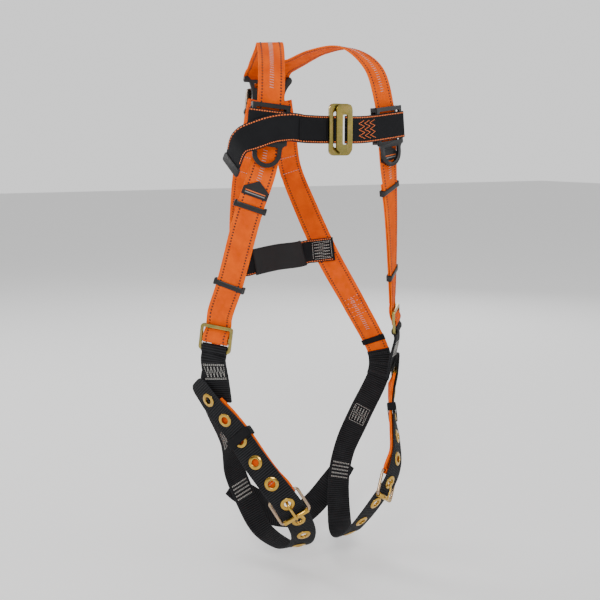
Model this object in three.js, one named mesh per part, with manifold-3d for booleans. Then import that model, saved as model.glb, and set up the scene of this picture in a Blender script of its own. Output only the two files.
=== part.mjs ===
// Full-body safety harness: webbing, dorsal D-ring and pad, chest strap, torso adjusters,
// tongue-buckle leg straps, lumbar strap and sub-pelvic strap.
// Millimetres. +Z is up, the wearer faces -Y and the wearer's left is +X. The origin is on the
// midline at the height of the shoulder tops, where the wearer's shoulders carry the harness.
import * as THREE from 'three';
import { mergeVertices } from 'three/addons/utils/BufferGeometryUtils.js';
import Module from 'manifold-3d';

// ---- Driving dimensions ----
const WEBBING = 45; // webbing width
const PLY = 2.4; // one layer of webbing
const GAP = 0.5; // clearance between touching layers
const PITCH = PLY + GAP; // from one layer of webbing to the next
const GROMMET_PITCH = 45;
const GROMMET_OUTER = 12.5;
const GROMMET_HOLE = 6.2;
const WIRE = 2.6; // radius of the tongue buckle's wire frame
const RING_THICK = 5; // thickness of the forged dorsal ring
const RING_AXIS = [0, 139, -69]; // pivot of the dorsal ring, in its bar
const PAD_CENTRE = [0, 124.5, -79]; // middle of the dorsal pad
const CHEST_CENTRE = [4, -129, -144]; // middle of the chest buckle

const COLOUR = {
  orange: 0xf06010,
  black: 0x26282a,
  plastic: 0x1d1e20,
  zinc: 0xb89a4a,
  steel: 0xb9ab98,
  yellow: 0xf2c400,
};

const wasm = await Module();
wasm.setup();
const harness = new THREE.Group();

// ---- Solids ----
function toSolid(geometry) {
  const bare = geometry.clone();
  bare.deleteAttribute('normal');
  bare.deleteAttribute('uv');
  const merged = mergeVertices(bare, 1e-4);
  return new wasm.Manifold(
    new wasm.Mesh({
      numProp: 3,
      vertProperties: merged.attributes.position.array,
      triVerts: new Uint32Array(merged.index.array),
    }),
  );
}

function toGeometry(solid) {
  const mesh = solid.getMesh();
  const geometry = new THREE.BufferGeometry();
  geometry.setAttribute('position', new THREE.BufferAttribute(mesh.vertProperties, 3));
  geometry.setIndex(new THREE.BufferAttribute(mesh.triVerts, 1));
  return geometry;
}

function join(...geometries) {
  const solids = geometries.map(toSolid);
  return toGeometry(solids.reduce((sum, solid) => sum.add(solid)));
}

function cut(geometry, ...tools) {
  const solids = tools.map(toSolid);
  return toGeometry(solids.reduce((rest, tool) => rest.subtract(tool), toSolid(geometry)));
}

function common(geometry, other) {
  return toGeometry(toSolid(geometry).intersect(toSolid(other)));
}

function box(width, height, depth, x = 0, y = 0, z = 0) {
  return new THREE.BoxGeometry(width, height, depth).translate(x, y, z);
}

// A round bar along local x.
function bar(radius, length, x = 0, y = 0, z = 0, sides = 16) {
  return new THREE.CylinderGeometry(radius, radius, length, sides).rotateZ(Math.PI / 2).translate(x, y, z);
}

// A rounded rectangle as a shape or a hole, centred on x, y.
function rounded(Kind, width, height, radius, x = 0, y = 0) {
  const w = width / 2;
  const h = height / 2;
  const path = new Kind();
  path.moveTo(x - w + radius, y - h);
  path.lineTo(x + w - radius, y - h);
  path.absarc(x + w - radius, y - h + radius, radius, -Math.PI / 2, 0);
  path.lineTo(x + w, y + h - radius);
  path.absarc(x + w - radius, y + h - radius, radius, 0, Math.PI / 2);
  path.lineTo(x - w + radius, y + h);
  path.absarc(x - w + radius, y + h - radius, radius, Math.PI / 2, Math.PI);
  path.lineTo(x - w, y - h + radius);
  path.absarc(x - w + radius, y - h + radius, radius, Math.PI, 1.5 * Math.PI);
  return path;
}

// A flat plate of the shape, with its thickness centred on z.
function plate(shape, thickness, z = 0, curveSegments = 5) {
  const options = { depth: thickness, bevelEnabled: false, curveSegments };
  return new THREE.ExtrudeGeometry(shape, options).translate(0, 0, z - thickness / 2);
}

// ---- Routes ----
// A route is a list of [x, y, z, nx, ny, nz]: a point of the strap's centre line and the
// direction that the strap's outer face looks there.
function curves(route) {
  const centre = new THREE.CatmullRomCurve3(route.map((p) => new THREE.Vector3(p[0], p[1], p[2])));
  const facing = new THREE.CatmullRomCurve3(route.map((p) => new THREE.Vector3(p[3], p[4], p[5])));
  return { centre, facing };
}

// The strap's own axes at t: x across it, y along it and z out of its face.
function station(route, t) {
  const { centre, facing } = curves(route);
  const along = centre.getTangent(t);
  const out = facing.getPoint(t);
  out.addScaledVector(along, -out.dot(along)).normalize();
  const across = new THREE.Vector3().crossVectors(along, out);
  return new THREE.Matrix4().makeBasis(across, along, out).setPosition(centre.getPoint(t));
}

// The t of the place that lies a length along the route from the t given.
function walk(route, t, length) {
  const { centre } = curves(route);
  centre.arcLengthDivisions = 800;
  const lengths = centre.getLengths();
  const total = lengths[lengths.length - 1];
  const done = lengths[Math.round(t * (lengths.length - 1))];
  return centre.getUtoTmapping((done + length) / total);
}

// The t of a route's point.
function atPoint(route, index) {
  return index / (route.length - 1);
}

function offset(route, distance) {
  return route.map(([x, y, z, nx, ny, nz]) => {
    const size = Math.hypot(nx, ny, nz);
    const shift = distance / size;
    return [x + nx * shift, y + ny * shift, z + nz * shift, nx, ny, nz];
  });
}

// Route points given in a station's own axes.
function placed(frame, route) {
  return route.map(([x, y, z, nx, ny, nz]) => {
    const point = new THREE.Vector3(x, y, z).applyMatrix4(frame);
    const facing = new THREE.Vector3(nx, ny, nz).transformDirection(frame);
    return [...point.toArray(), ...facing.toArray()];
  });
}

// The same for a route in the middle plane of its station: [along, out, facing along, facing out].
function localRoute(frame, points) {
  const spread = ([along, out, facingAlong, facingOut]) => [0, along, out, 0, facingAlong, facingOut];
  return placed(frame, points.map(spread));
}

function mirrored(route) {
  return route.map(([x, y, z, nx, ny, nz]) => [-x, y, z, -nx, ny, nz]);
}

// The part of a route between two values of t, with count points.
function stretch(route, from, to, count) {
  const { centre, facing } = curves(route);
  return Array.from({ length: count }, (unused, i) => {
    const t = from + ((to - from) * i) / (count - 1);
    return [...centre.getPoint(t).toArray(), ...facing.getPoint(t).toArray()];
  });
}

// A strap of the width and thickness between two values of t of the route, lifted off it by lift.
function ribbon(route, steps, from = 0, to = 1, width = WEBBING, thickness = PLY, lift = 0) {
  const { centre, facing } = curves(route);
  const geometry = new THREE.BoxGeometry(1, 1, 1, 1, steps, 1);
  const position = geometry.attributes.position;
  const frames = Array.from({ length: steps + 1 }, (unused, i) => {
    const t = from + ((to - from) * i) / steps;
    const along = centre.getTangent(t);
    const out = facing.getPoint(t);
    out.addScaledVector(along, -out.dot(along)).normalize();
    return { point: centre.getPoint(t), out, across: new THREE.Vector3().crossVectors(along, out) };
  });
  for (let i = 0; i < position.count; i += 1) {
    const { point, out, across } = frames[Math.round((position.getY(i) + 0.5) * steps)];
    const place = point.clone().addScaledVector(across, position.getX(i) * width);
    place.addScaledVector(out, position.getZ(i) * thickness + lift);
    position.setXYZ(i, place.x, place.y, place.z);
  }
  return geometry;
}

function add(group, name, geometry, colour, roughness = 0.85, metalness = 0) {
  const material = new THREE.MeshStandardMaterial({ color: colour, roughness, metalness });
  const mesh = new THREE.Mesh(geometry, material);
  mesh.name = name;
  group.add(mesh);
  return mesh;
}

function addMetal(group, name, geometry, colour = COLOUR.zinc) {
  return add(group, name, geometry, colour, 0.35, 1);
}

function groupAt(parent, matrix) {
  const group = new THREE.Group();
  group.applyMatrix4(matrix);
  parent.add(group);
  return group;
}

// ---- Strap routes of the wearer's left side; the right side is their mirror image ----
const FRONT = [
  [183, -42, -472, 0.72, -0.69, 0],
  [166, -56, -400, 0.66, -0.75, 0],
  [142, -82, -280, 0.5, -0.87, 0],
  [121, -100, -200, 0.28, -0.95, 0],
  [114.5, -102, -145, 0.24, -0.97, 0.02],
  [108.5, -101, -95, 0.2, -0.98, 0.08],
  [98, -83, -38, 0.1, -0.75, 0.65],
  [76, -34, -2, 0.05, -0.1, 1],
];
const SHOULDER = [
  [51, 26, -4, 0, 0.2, 1],
  [36, 78, -18, 0, 0.5, 0.85],
  [26, 115, -29, 0, 0.9, 0.45],
  [25, 130, -43.5, 0, 1, 0.15],
  [25, 130.6, -52, 0, 1, 0],
];
const BACK = [
  [23, 115, -88, 0, 1, 0.1],
  [38, 122, -165, 0.05, 1, 0.05],
  [50, 128, -215, 0.12, 1, 0],
  [72, 106, -290, 0.3, 0.95, 0],
  [98, 66, -380, 0.5, 0.85, 0],
  [134, 30, -467, 0.7, 0.7, 0],
  [181, 13, -562, 0.8, 0.6, 0],
];
const HIP = [
  [185, 11, -588, 0.83, 0.57, 0],
  [181, 13, -616, 0.85, 0.53, 0],
];
const LEG_REAR = [
  [144, 20, -690, 0.74, 0.67, 0],
  [119, 36, -764, 0.22, 0.97, -0.05],
  [103, 28, -812, 0.12, 0.95, -0.3],
  [83, -6, -870, 0.1, 0.5, -0.86],
  [60, -54, -887, 0.08, 0, -1],
];
const LEG_FRONT = [
  [53, -94, -871, 0.1, -0.6, -0.8],
  [60, -122, -839, 0.2, -0.85, -0.4],
  [81, -139, -799, 0.3, -0.9, -0.2],
  [106, -145, -763, 0.42, -0.88, -0.02],
  [127, -134, -731, 0.48, -0.87, 0],
  [146, -105, -695, 0.58, -0.8, 0],
  [166, -64, -648, 0.84, -0.55, 0],
  [188, -36, -614, 0.94, -0.3, 0],
  [209, -6, -572, 0.98, -0.12, 0],
];
const DOWN = [...BACK, ...HIP, ...LEG_REAR, ...LEG_FRONT];
const HIP_FROM = atPoint(DOWN, BACK.length - 1);
const HIP_TO = atPoint(DOWN, BACK.length + HIP.length - 1);
const LEG_BOTTOM = atPoint(DOWN, BACK.length + HIP.length + LEG_REAR.length - 1);
const SEAM = 0.0012; // a slit between two nodes of one strap, as a share of its route

// ---- Torso adjuster ----
const ADJUSTER_WIDTH = 58;
const ADJUSTER_HEIGHT = 46;
const ADJUSTER_THICK = 5;
const ADJUSTER_DROP = 20; // from the start of the front route down to the frame's middle
const LOWER_BAR = -20; // middle of the frame's lower bar, along the strap
const BAR_LOW = -4; // lower edge of the friction bar
const ADJUSTER_TURN = -0.17; // the frame hangs straighter than the strap above it
const ADJUSTER = station(FRONT, 0);
ADJUSTER.multiply(new THREE.Matrix4().makeRotationZ(ADJUSTER_TURN));
ADJUSTER.multiply(new THREE.Matrix4().makeTranslation(0, -ADJUSTER_DROP, 0));

function adjusterFrame() {
  const outline = rounded(THREE.Shape, ADJUSTER_WIDTH, ADJUSTER_HEIGHT, 6);
  outline.holes.push(rounded(THREE.Path, 49, 34, 2));
  const track = box(54, 18, 3.4, 0, BAR_LOW + 4, 0);
  return cut(plate(outline, ADJUSTER_THICK), track);
}

function frictionBar() {
  const core = box(46, 7, 4, 0, BAR_LOW + 3.5, 0);
  const ends = box(53, 5, 2.6, 0, BAR_LOW + 3.5, 0);
  return join(core, ends);
}

// The strap comes down behind the frame's upper bar, turns round the friction bar and goes
// back up behind itself as the free tail.
const STRAP_FOLD = localRoute(ADJUSTER, [
  [BAR_LOW + 5, -4.2, 0, -1],
  [BAR_LOW - 1, -3.6, -0.4, -1],
  [BAR_LOW - 4.4, 0, -1, 0],
  [BAR_LOW - 1, 3.6, -0.4, 1],
  [BAR_LOW + 5.5, 4, 0.2, 1],
  [BAR_LOW + 13, 0.6, 0.9, 1],
  [16, -4.2, 0.5, 1],
  [24, -5, 0, 1],
  [40, -4, 0, 1],
]);
const OVER = [...STRAP_FOLD, ...FRONT.slice(1), ...SHOULDER];
const CREST = atPoint(OVER, STRAP_FOLD.length + FRONT.length - 2);
const TAIL_DEPTH = PITCH + 0.8;
const TAIL_TOP = atPoint(OVER, STRAP_FOLD.length + 1.6);
const TAIL = [
  ...localRoute(ADJUSTER, [
    [BAR_LOW + 6, -4.3, 0, 1],
    [8, -6.6, 0, 1],
    [16, -8, 0, 1],
    [24, -8.4, 0, 1],
    [40, -7.6, 0, 1],
  ]),
  ...offset(stretch(OVER, atPoint(OVER, STRAP_FOLD.length), TAIL_TOP, 8), -TAIL_DEPTH),
];

// ---- Chest slider with its lanyard keeper ----
const SLIDER_WIDTH = 62;
const RETURN_OUT = 3.4; // webbing behind the slider's face, out from the shoulder strap
const FACE_OUT = 7.5; // middle of the slider's face
const FACE_THICK = 4.4;
const CHEST_OUT = 11.5; // chest webbing over the slider's face
const SLIDER = station(OVER, atPoint(OVER, STRAP_FOLD.length + 3.15));

function chestSlider() {
  const half = SLIDER_WIDTH / 2;
  const outline = new THREE.Shape();
  outline.moveTo(-half, 34);
  outline.lineTo(-half, -30);
  outline.quadraticCurveTo(-24, -32, -24, -38);
  outline.lineTo(-24, -44);
  outline.absarc(0, -44, 24, Math.PI, 2 * Math.PI);
  outline.lineTo(24, -38);
  outline.quadraticCurveTo(24, -32, half, -30);
  outline.lineTo(half, 34);
  const keeperHole = new THREE.Path();
  keeperHole.moveTo(-17, -34);
  keeperHole.lineTo(17, -34);
  keeperHole.lineTo(17, -44);
  keeperHole.absarc(0, -44, 17, 0, -Math.PI, true);
  outline.holes.push(rounded(THREE.Path, 50, 51, 2, 0, 1.5), keeperHole);
  const face = plate(outline, FACE_THICK, FACE_OUT);
  const back = box(SLIDER_WIDTH, 62, 2.6, 0, 3, -4.6);
  const depth = FACE_OUT + 4.6;
  const posts = [-1, 1].flatMap((x) =>
    [[30.5, 7], [-26, 4]].map(([y, height]) =>
      box(5, height, depth, x * (half - 2.5), y, FACE_OUT - depth / 2),
    ),
  );
  return join(face, back, ...posts);
}

// A band closed round layers of webbing, between its lowest and highest inner face.
function keeperBand(low, high, height = 9) {
  const inside = WEBBING + 4;
  const middle = (low + high) / 2;
  const wall = 1.7;
  const outer = box(inside + 2 * wall + 2, height, high - low + 2 * wall, 0, 0, middle);
  return cut(outer, box(inside, height + 2, high - low, 0, 0, middle));
}

// ---- Tongue buckle of a leg strap ----
const BUCKLE_HALF = 22; // from the frame's middle to the top bar and to the roller
const BUCKLE_REACH = 27.5; // from the middle to the centre of each side arm
const BUCKLE_TILT = 0.38; // the frame leans across the strap, from behind it to in front
const FIRST_GROMMET = atPoint(DOWN, DOWN.length - 6.1); // the grommet that holds the tongue
const BUCKLE = station(DOWN, walk(DOWN, FIRST_GROMMET, -7.4));
BUCKLE.multiply(new THREE.Matrix4().makeTranslation(0, 0, -1.8));
BUCKLE.multiply(new THREE.Matrix4().makeRotationX(-BUCKLE_TILT));

function buckleFrame() {
  const arm = (x) => new THREE.CylinderGeometry(WIRE, WIRE, 2 * BUCKLE_HALF, 12).translate(x, 0, 0);
  const corner = (x, y) => new THREE.SphereGeometry(WIRE, 12, 8).translate(x, y, 0);
  const corners = [-BUCKLE_REACH, BUCKLE_REACH].flatMap((x) =>
    [-BUCKLE_HALF, BUCKLE_HALF].map((y) => corner(x, y)),
  );
  return join(
    arm(-BUCKLE_REACH),
    arm(BUCKLE_REACH),
    bar(WIRE, 2 * BUCKLE_REACH, 0, BUCKLE_HALF),
    bar(WIRE - 0.4, 2 * BUCKLE_REACH, 0, -BUCKLE_HALF),
    ...corners,
  );
}

function buckleRoller() {
  const tube = bar(WIRE + 1.8, 2 * (BUCKLE_REACH - WIRE) - 1.6);
  return cut(tube, bar(WIRE, 60));
}

// A collar on the top bar and a bent finger that rests on the roller.
function buckleTongue() {
  const collar = cut(bar(WIRE + 1.8, 8, 0, BUCKLE_HALF), bar(WIRE + 0.3, 20, 0, BUCKLE_HALF));
  const finger = new THREE.CatmullRomCurve3([
    new THREE.Vector3(0, BUCKLE_HALF - WIRE - 1, 0.6),
    new THREE.Vector3(0, 11, 1.6),
    new THREE.Vector3(0, 3, 7),
    new THREE.Vector3(0, -8, 9.4),
    new THREE.Vector3(0, -BUCKLE_HALF - 4, 7),
  ]);
  const section = new THREE.Shape();
  section.absarc(0, 0, 2, 0, 2 * Math.PI);
  const options = { steps: 12, extrudePath: finger, curveSegments: 5, bevelEnabled: false };
  return join(collar, new THREE.ExtrudeGeometry(section, options));
}

// ---- Leg webbing ----
const GROMMETS_ABOVE = 5;
const GROMMETS_BELOW = 3;

function grommetRing() {
  const half = 2.2;
  const profile = [
    new THREE.Vector2(GROMMET_HOLE, -half),
    new THREE.Vector2(GROMMET_OUTER, -half),
    new THREE.Vector2(GROMMET_OUTER, half),
    new THREE.Vector2(GROMMET_HOLE, half),
    new THREE.Vector2(GROMMET_HOLE, -half),
  ];
  return new THREE.LatheGeometry(profile, 14).rotateX(Math.PI / 2);
}

// The perforated front of the leg strap with its grommets crimped in.
function grommetStrap() {
  let strap = toSolid(ribbon(DOWN, 30, LEG_BOTTOM + SEAM, 1));
  const punch = new THREE.CylinderGeometry(GROMMET_HOLE + 1, GROMMET_HOLE + 1, 12, 14).rotateX(Math.PI / 2);
  for (let i = -GROMMETS_BELOW; i <= GROMMETS_ABOVE; i += 1) {
    const place = station(DOWN, walk(DOWN, FIRST_GROMMET, i * GROMMET_PITCH));
    strap = strap.subtract(toSolid(punch.clone().applyMatrix4(place)));
    strap = strap.add(toSolid(grommetRing().applyMatrix4(place)));
  }
  return toGeometry(strap);
}

const LINING_DEPTH = 6.2; // the lining's middle, in from the perforated strap's
const LINING_THICK = 2 * PLY;
const LINING_FROM = walk(DOWN, FIRST_GROMMET, 52);
const LINING_TO = atPoint(DOWN, DOWN.length - 1.9);
const LINING = [
  ...localRoute(BUCKLE, [
    [BUCKLE_HALF + 3, -0.6, 0, 1],
    [BUCKLE_HALF + 12, -0.2, 0, 1],
  ]),
  ...stretch(offset(DOWN, -LINING_DEPTH), LINING_FROM, LINING_TO, 5),
];

function lining() {
  const inBuckle = (geometry) => geometry.applyMatrix4(BUCKLE);
  const eye = bar(WIRE + 0.5 + PLY, WEBBING, 0, BUCKLE_HALF);
  return cut(
    join(ribbon(LINING, 16, 0, 1, WEBBING, LINING_THICK), inBuckle(eye)),
    inBuckle(bar(WIRE + 0.4, 60, 0, BUCKLE_HALF)),
    inBuckle(box(9.4, 12, 14, 0, BUCKLE_HALF - 0.5, 0)),
  );
}

const TORSO_LOOP = [
  ...localRoute(ADJUSTER, [
    [LOWER_BAR - 5, 0, 0, 1],
    [LOWER_BAR - 18, 0, 0, 1],
  ]),
  [183, -35, -565, 0.7, -0.72, 0],
  [175, -32, -606, 0.8, -0.6, 0],
];

function torsoLoop() {
  const inAdjuster = (geometry) => geometry.applyMatrix4(ADJUSTER);
  return cut(
    join(ribbon(TORSO_LOOP, 12, 0, 1, WEBBING, 2 * PLY), inAdjuster(bar(6.8, WEBBING, 0, LOWER_BAR))),
    inAdjuster(bar(4.4, 60, 0, LOWER_BAR)),
  );
}

// A label or tag of the shape on the outer face of a route's strap at t.
function patch(route, t, shape) {
  const sheet = ribbon(route, 8, walk(route, t, -30), walk(route, t, 30), 60, 0.8, 2.3);
  return common(sheet, plate(shape, 30).applyMatrix4(station(route, t)));
}

// The elastic band round the back strap, just above the hip.
function hipBand() {
  return ribbon(DOWN, 4, HIP_FROM - 0.0145, HIP_FROM - 0.0095, WEBBING + 4, 1.4, -2.4);
}

function wearTag() {
  return patch(DOWN, atPoint(DOWN, 2.3), rounded(THREE.Shape, 42, 22, 1));
}

function pentagon() {
  const shape = new THREE.Shape();
  shape.moveTo(-22, -11);
  shape.lineTo(22, -11);
  shape.lineTo(22, 2);
  shape.lineTo(0, 17);
  shape.lineTo(-22, 2);
  return shape;
}

// Where the upper keepers sit on the front straps, as points after the strap's fold.
const UPPER_KEEPER = { left: 1.42, right: 1.12 };

// ---- One side of the harness ----
function makeSide(side) {
  const group = new THREE.Group();
  const { orange, black, plastic } = COLOUR;
  add(group, `front_strap_${side}`, ribbon(OVER, 56, 0, CREST - SEAM), orange);
  add(group, `shoulder_strap_${side}`, ribbon(OVER, 14, CREST + SEAM, 1), orange);
  add(group, `strap_tail_${side}`, ribbon(TAIL, 24), orange);
  add(group, `back_strap_${side}`, ribbon(DOWN, 24, 0, HIP_FROM - SEAM), orange);
  add(group, `hip_band_${side}`, hipBand(), black);
  add(group, `hip_wrap_${side}`, ribbon(DOWN, 6, HIP_FROM, HIP_TO, WEBBING + 1, 7), black);
  add(group, `leg_strap_${side}`, ribbon(DOWN, 20, HIP_TO + SEAM, LEG_BOTTOM - SEAM), black);
  add(group, `grommet_strap_${side}`, grommetStrap(), black);
  add(group, `leg_lining_${side}`, lining(), orange);
  add(group, `torso_loop_${side}`, torsoLoop(), black);
  add(group, `wear_tag_${side}`, wearTag(), COLOUR.yellow);

  const adjuster = groupAt(group, ADJUSTER);
  addMetal(adjuster, `torso_adjuster_${side}`, adjusterFrame());
  addMetal(adjuster, `friction_bar_${side}`, frictionBar());

  const slider = groupAt(group, SLIDER);
  add(slider, `chest_slider_${side}`, chestSlider(), plastic, 0.5);

  const buckle = groupAt(group, BUCKLE);
  addMetal(buckle, `leg_buckle_${side}`, buckleFrame(), COLOUR.steel);
  addMetal(buckle, `buckle_tongue_${side}`, buckleTongue());
  addMetal(buckle, `buckle_roller_${side}`, buckleRoller()).position.y = -BUCKLE_HALF;

  const upper = groupAt(group, station(OVER, atPoint(OVER, STRAP_FOLD.length + UPPER_KEEPER[side])));
  add(upper, `upper_keeper_${side}`, keeperBand(-6.1, 2), plastic, 0.5);
  const lower = groupAt(group, station(OVER, atPoint(OVER, STRAP_FOLD.length - 0.02)));
  add(lower, `lower_keeper_${side}`, keeperBand(-6.1, 2), plastic, 0.5);
  const leg = groupAt(group, station(DOWN, walk(DOWN, FIRST_GROMMET, 140)));
  add(leg, `leg_keeper_${side}`, keeperBand(-LINING_DEPTH - 4, 3.4, 16), plastic, 0.5);
  return group;
}

// ---- Dorsal ring, its webbing and the pad ----
// Looking at the back: x runs to the wearer's right, y up and z out of the back.
function dorsalFrame(point) {
  const axes = [new THREE.Vector3(-1, 0, 0), new THREE.Vector3(0, 0, 1), new THREE.Vector3(0, 1, 0)];
  return new THREE.Matrix4().makeBasis(...axes).setPosition(...point);
}

const RING_BAR = 5; // half height of the ring's bar, which its pivot lies in
const RING_EYE_Y = -58; // middle of the eye below the pivot
const RING_EYE = 32;
const RING_OUTER = 43;

function dorsalRing() {
  const outline = new THREE.Shape();
  const lean = 0.12; // where the straight side meets the eye's outer round
  outline.moveTo(-30, RING_BAR);
  outline.quadraticCurveTo(-37, RING_BAR, -38, -3);
  const meet = [RING_OUTER * Math.cos(lean), RING_EYE_Y + RING_OUTER * Math.sin(lean)];
  outline.lineTo(-meet[0], meet[1]);
  outline.absarc(0, RING_EYE_Y, RING_OUTER, Math.PI - lean, 2 * Math.PI + lean);
  outline.lineTo(38, -3);
  outline.quadraticCurveTo(37, RING_BAR, 30, RING_BAR);
  const eye = new THREE.Path();
  eye.absarc(0, RING_EYE_Y, RING_EYE, 0, 2 * Math.PI, true);
  outline.holes.push(rounded(THREE.Path, 52, 15, 3, 0, -RING_BAR - 7.5), eye);
  return plate(outline, RING_THICK, 0, 16);
}

// The crossed shoulder straps where they pass over the ring's bar, from the pad and back to it.
const CROSSING = [
  [11.5, -9.5, 1, 0],
  [11.5, 0, 1, 0.1],
  [10, 7.4, 0.75, 0.65],
  [0, 9.6, 0, 1],
  [-10, 7.4, -0.75, 0.65],
  [-11.5, 0, -1, 0.1],
  [-11.5, -9.5, -1, 0],
];

function crossing() {
  return ribbon(localRoute(new THREE.Matrix4(), CROSSING), 18, 0, 1, WEBBING + 3, 4.4);
}

function dorsalPad() {
  const outline = new THREE.Shape();
  const waist = 31;
  const corner = 50;
  const tall = 38;
  const dip = 8; // how far the top edge lies below the upper lobes
  outline.moveTo(0, tall - dip);
  outline.lineTo(-corner + 14, tall - dip);
  outline.absarc(-corner + 7, tall - 8, 7, Math.PI / 2, 1.25 * Math.PI);
  outline.quadraticCurveTo(-waist, 8, -waist - 3, -6);
  outline.lineTo(-corner + 2, -tall + 16);
  outline.absarc(-corner + 7, -tall + 9, 7, 0.8 * Math.PI, 1.6 * Math.PI);
  outline.lineTo(-16, -tall + 8);
  outline.lineTo(0, -tall - 3);
  outline.lineTo(16, -tall + 8);
  outline.lineTo(corner - 5, -tall + 2.5);
  outline.absarc(corner - 7, -tall + 9, 7, -0.6 * Math.PI, 0.2 * Math.PI);
  outline.lineTo(waist + 3, -6);
  outline.quadraticCurveTo(waist, 8, corner - 12, tall - 13);
  outline.absarc(corner - 7, tall - 8, 7, -0.25 * Math.PI, 0.5 * Math.PI);
  outline.lineTo(corner - 14, tall - dip);
  outline.holes.push(rounded(THREE.Path, 58, 9, 2, 0, 19));
  return plate(outline, 5.6, 0, 6);
}

// ---- Chest strap ----
const CHEST = new THREE.Matrix4()
  .makeBasis(new THREE.Vector3(1, 0, 0), new THREE.Vector3(0, 0, 1), new THREE.Vector3(0, -1, 0))
  .setPosition(...CHEST_CENTRE);
const FACE_EDGE = SLIDER_WIDTH / 2;
// Chest webbing looped round a slider's face, in the slider's own axes.
const SLIDER_LOOP = [
  [-FACE_EDGE - 12, 1, RETURN_OUT, 0, 0, -1],
  [0, 1, RETURN_OUT, 0, 0, -1],
  [24, 1, RETURN_OUT, 0, 0, -1],
  [FACE_EDGE + 0.5, 1, RETURN_OUT + 0.1, 0.2, 0, -1],
  [FACE_EDGE + 4.6, 1, (RETURN_OUT + CHEST_OUT) / 2, 1, 0, 0],
  [FACE_EDGE + 0.5, 1, CHEST_OUT - 0.1, 0.2, 0, 1],
  [24, 1, CHEST_OUT, 0, 0, 1],
  [0, 1, CHEST_OUT, 0, 0, 1],
  [-FACE_EDGE - 1, 1, CHEST_OUT, 0, 0, 1],
];
const CHEST_LEFT = [
  ...placed(SLIDER, SLIDER_LOOP),
  ...placed(CHEST, [
    [50, 1, 0.5, 0, 0, 1],
    [30, 0, 3.9, 0, 0, 1],
    [7, 0, 3.9, 0, 0, 1],
  ]),
];
const CHEST_RIGHT = [
  ...mirrored(placed(SLIDER, SLIDER_LOOP)),
  ...placed(CHEST, [
    [-66, 1, -7.6, 0, 0, 1],
    [-40, 0, -7.8, 0, 0, 1],
    [-22, 0, -7.9, 0, 0, 1],
    [-5, 0, -7.9, 0, 0, 1],
  ]),
];
const CHEST_TAIL = [
  ...placed(CHEST, [
    [-5.3, 0, -3.8, 0, 0, -1],
    [-2.4, 0, -2.8, 0.7, 0, -0.7],
    [-1.3, 0, 0, 1, 0, 0],
    [-2.4, 0, 2.8, 0.7, 0, 0.7],
    [-5.3, 0, 3.9, 0, 0, 1],
    [-8.9, 0, 3, -0.6, 0, 0.8],
    [-10.6, 0, 0, -1, 0, 0.1],
    [-11.3, 0, -2.8, -0.9, 0, 0.4],
    [-13.6, 0, -4.8, -0.4, 0, 0.9],
    [-19, 0, -4.9, 0, 0, 1],
    [-34, 0, -4.8, 0, 0, 1],
    [-50, 0.4, -4.7, 0, 0, 1],
    [-66, 1, -4.3, 0, 0, 1],
  ]),
  ...mirrored(
    placed(SLIDER, [
      [-38, 1, 15.2, 0, 0, 1],
      [-8, -5, 15.2, 0, 0, 1],
      [22, -18, 16.6, 0.2, 0, 1],
      [46, -33, 12.5, 0.8, 0, 0.6],
    ]),
  ),
  [-168, -82, -193, -1, -0.15, 0],
];

// The ring half of the chest buckle, with the bar that the webbing turns round.
function chestBuckleRing() {
  const outline = rounded(THREE.Shape, 42, 84, 9);
  outline.holes.push(rounded(THREE.Path, 28, 58, 4));
  return join(plate(outline, 5), box(3.4, 60, 3.4, -5.3, 0, 0));
}

// The plate half, pushed through the ring and turned flat against it.
function chestBuckleTab() {
  const outline = new THREE.Shape();
  outline.moveTo(-8, 41);
  outline.quadraticCurveTo(-15, 39, -15, 30);
  outline.lineTo(-15, -31);
  outline.lineTo(-7, -39);
  outline.lineTo(7, -39);
  outline.quadraticCurveTo(15, -37, 15, -29);
  outline.lineTo(15, 30);
  outline.quadraticCurveTo(15, 40, 8, 41);
  outline.holes.push(rounded(THREE.Path, 9, 48, 2, 1, 0));
  return plate(outline, 3.4, 7.2).translate(4, 0, 0);
}

function chestKeeper() {
  const outer = box(34, 51, 12.4, -50, 0.4, -5.6);
  return cut(outer, box(36, 48, 9.4, -50, 0.4, -5.6));
}

function addChest() {
  const group = new THREE.Group();
  const { black, plastic } = COLOUR;
  add(group, 'chest_strap_left', ribbon(CHEST_LEFT, 30), black);
  add(group, 'chest_strap_right', ribbon(CHEST_RIGHT, 30), black);
  add(group, 'chest_tail', ribbon(CHEST_TAIL, 34), black);
  const middle = groupAt(group, CHEST);
  addMetal(middle, 'chest_buckle_ring', chestBuckleRing());
  addMetal(middle, 'chest_buckle_tab', chestBuckleTab());
  add(middle, 'chest_keeper', chestKeeper(), black);
  const end = groupAt(group, station(CHEST_TAIL, 1));
  add(end, 'chest_tail_cap', plate(rounded(THREE.Shape, 49, 16, 4, 0, 8.4), 5), plastic, 0.5);
  harness.add(group);
}

// ---- Lumbar strap, sewn to the inner faces of the back straps ----
const SEWN = -3.9; // a sewn end's middle, in from the strap that it is sewn to
const LUMBAR_LEFT = station(DOWN, atPoint(DOWN, 3.86));
const LUMBAR_RIGHT = station(DOWN, atPoint(DOWN, 4.02));
const LUMBAR = [
  ...placed(LUMBAR_LEFT, [
    [17, 6, SEWN, 0, 0, 1],
    [0, 0, SEWN, 0, 0, 1],
    [-20, -7, SEWN, 0, 0, 1],
    [-31, -11, SEWN - 2, 0, 0, 1],
  ]),
  [40, 80, -374, 0.1, 1, 0],
  [0, 84, -377, 0, 1, 0],
  [-40, 78, -381, -0.1, 1, 0],
  ...mirrored(
    placed(LUMBAR_RIGHT, [
      [-31, -11, SEWN - 2, 0, 0, 1],
      [-20, -7, SEWN, 0, 0, 1],
      [0, 0, SEWN, 0, 0, 1],
      [17, 6, SEWN, 0, 0, 1],
    ]),
  ),
];

const LUMBAR_STEPS = 34;

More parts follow.
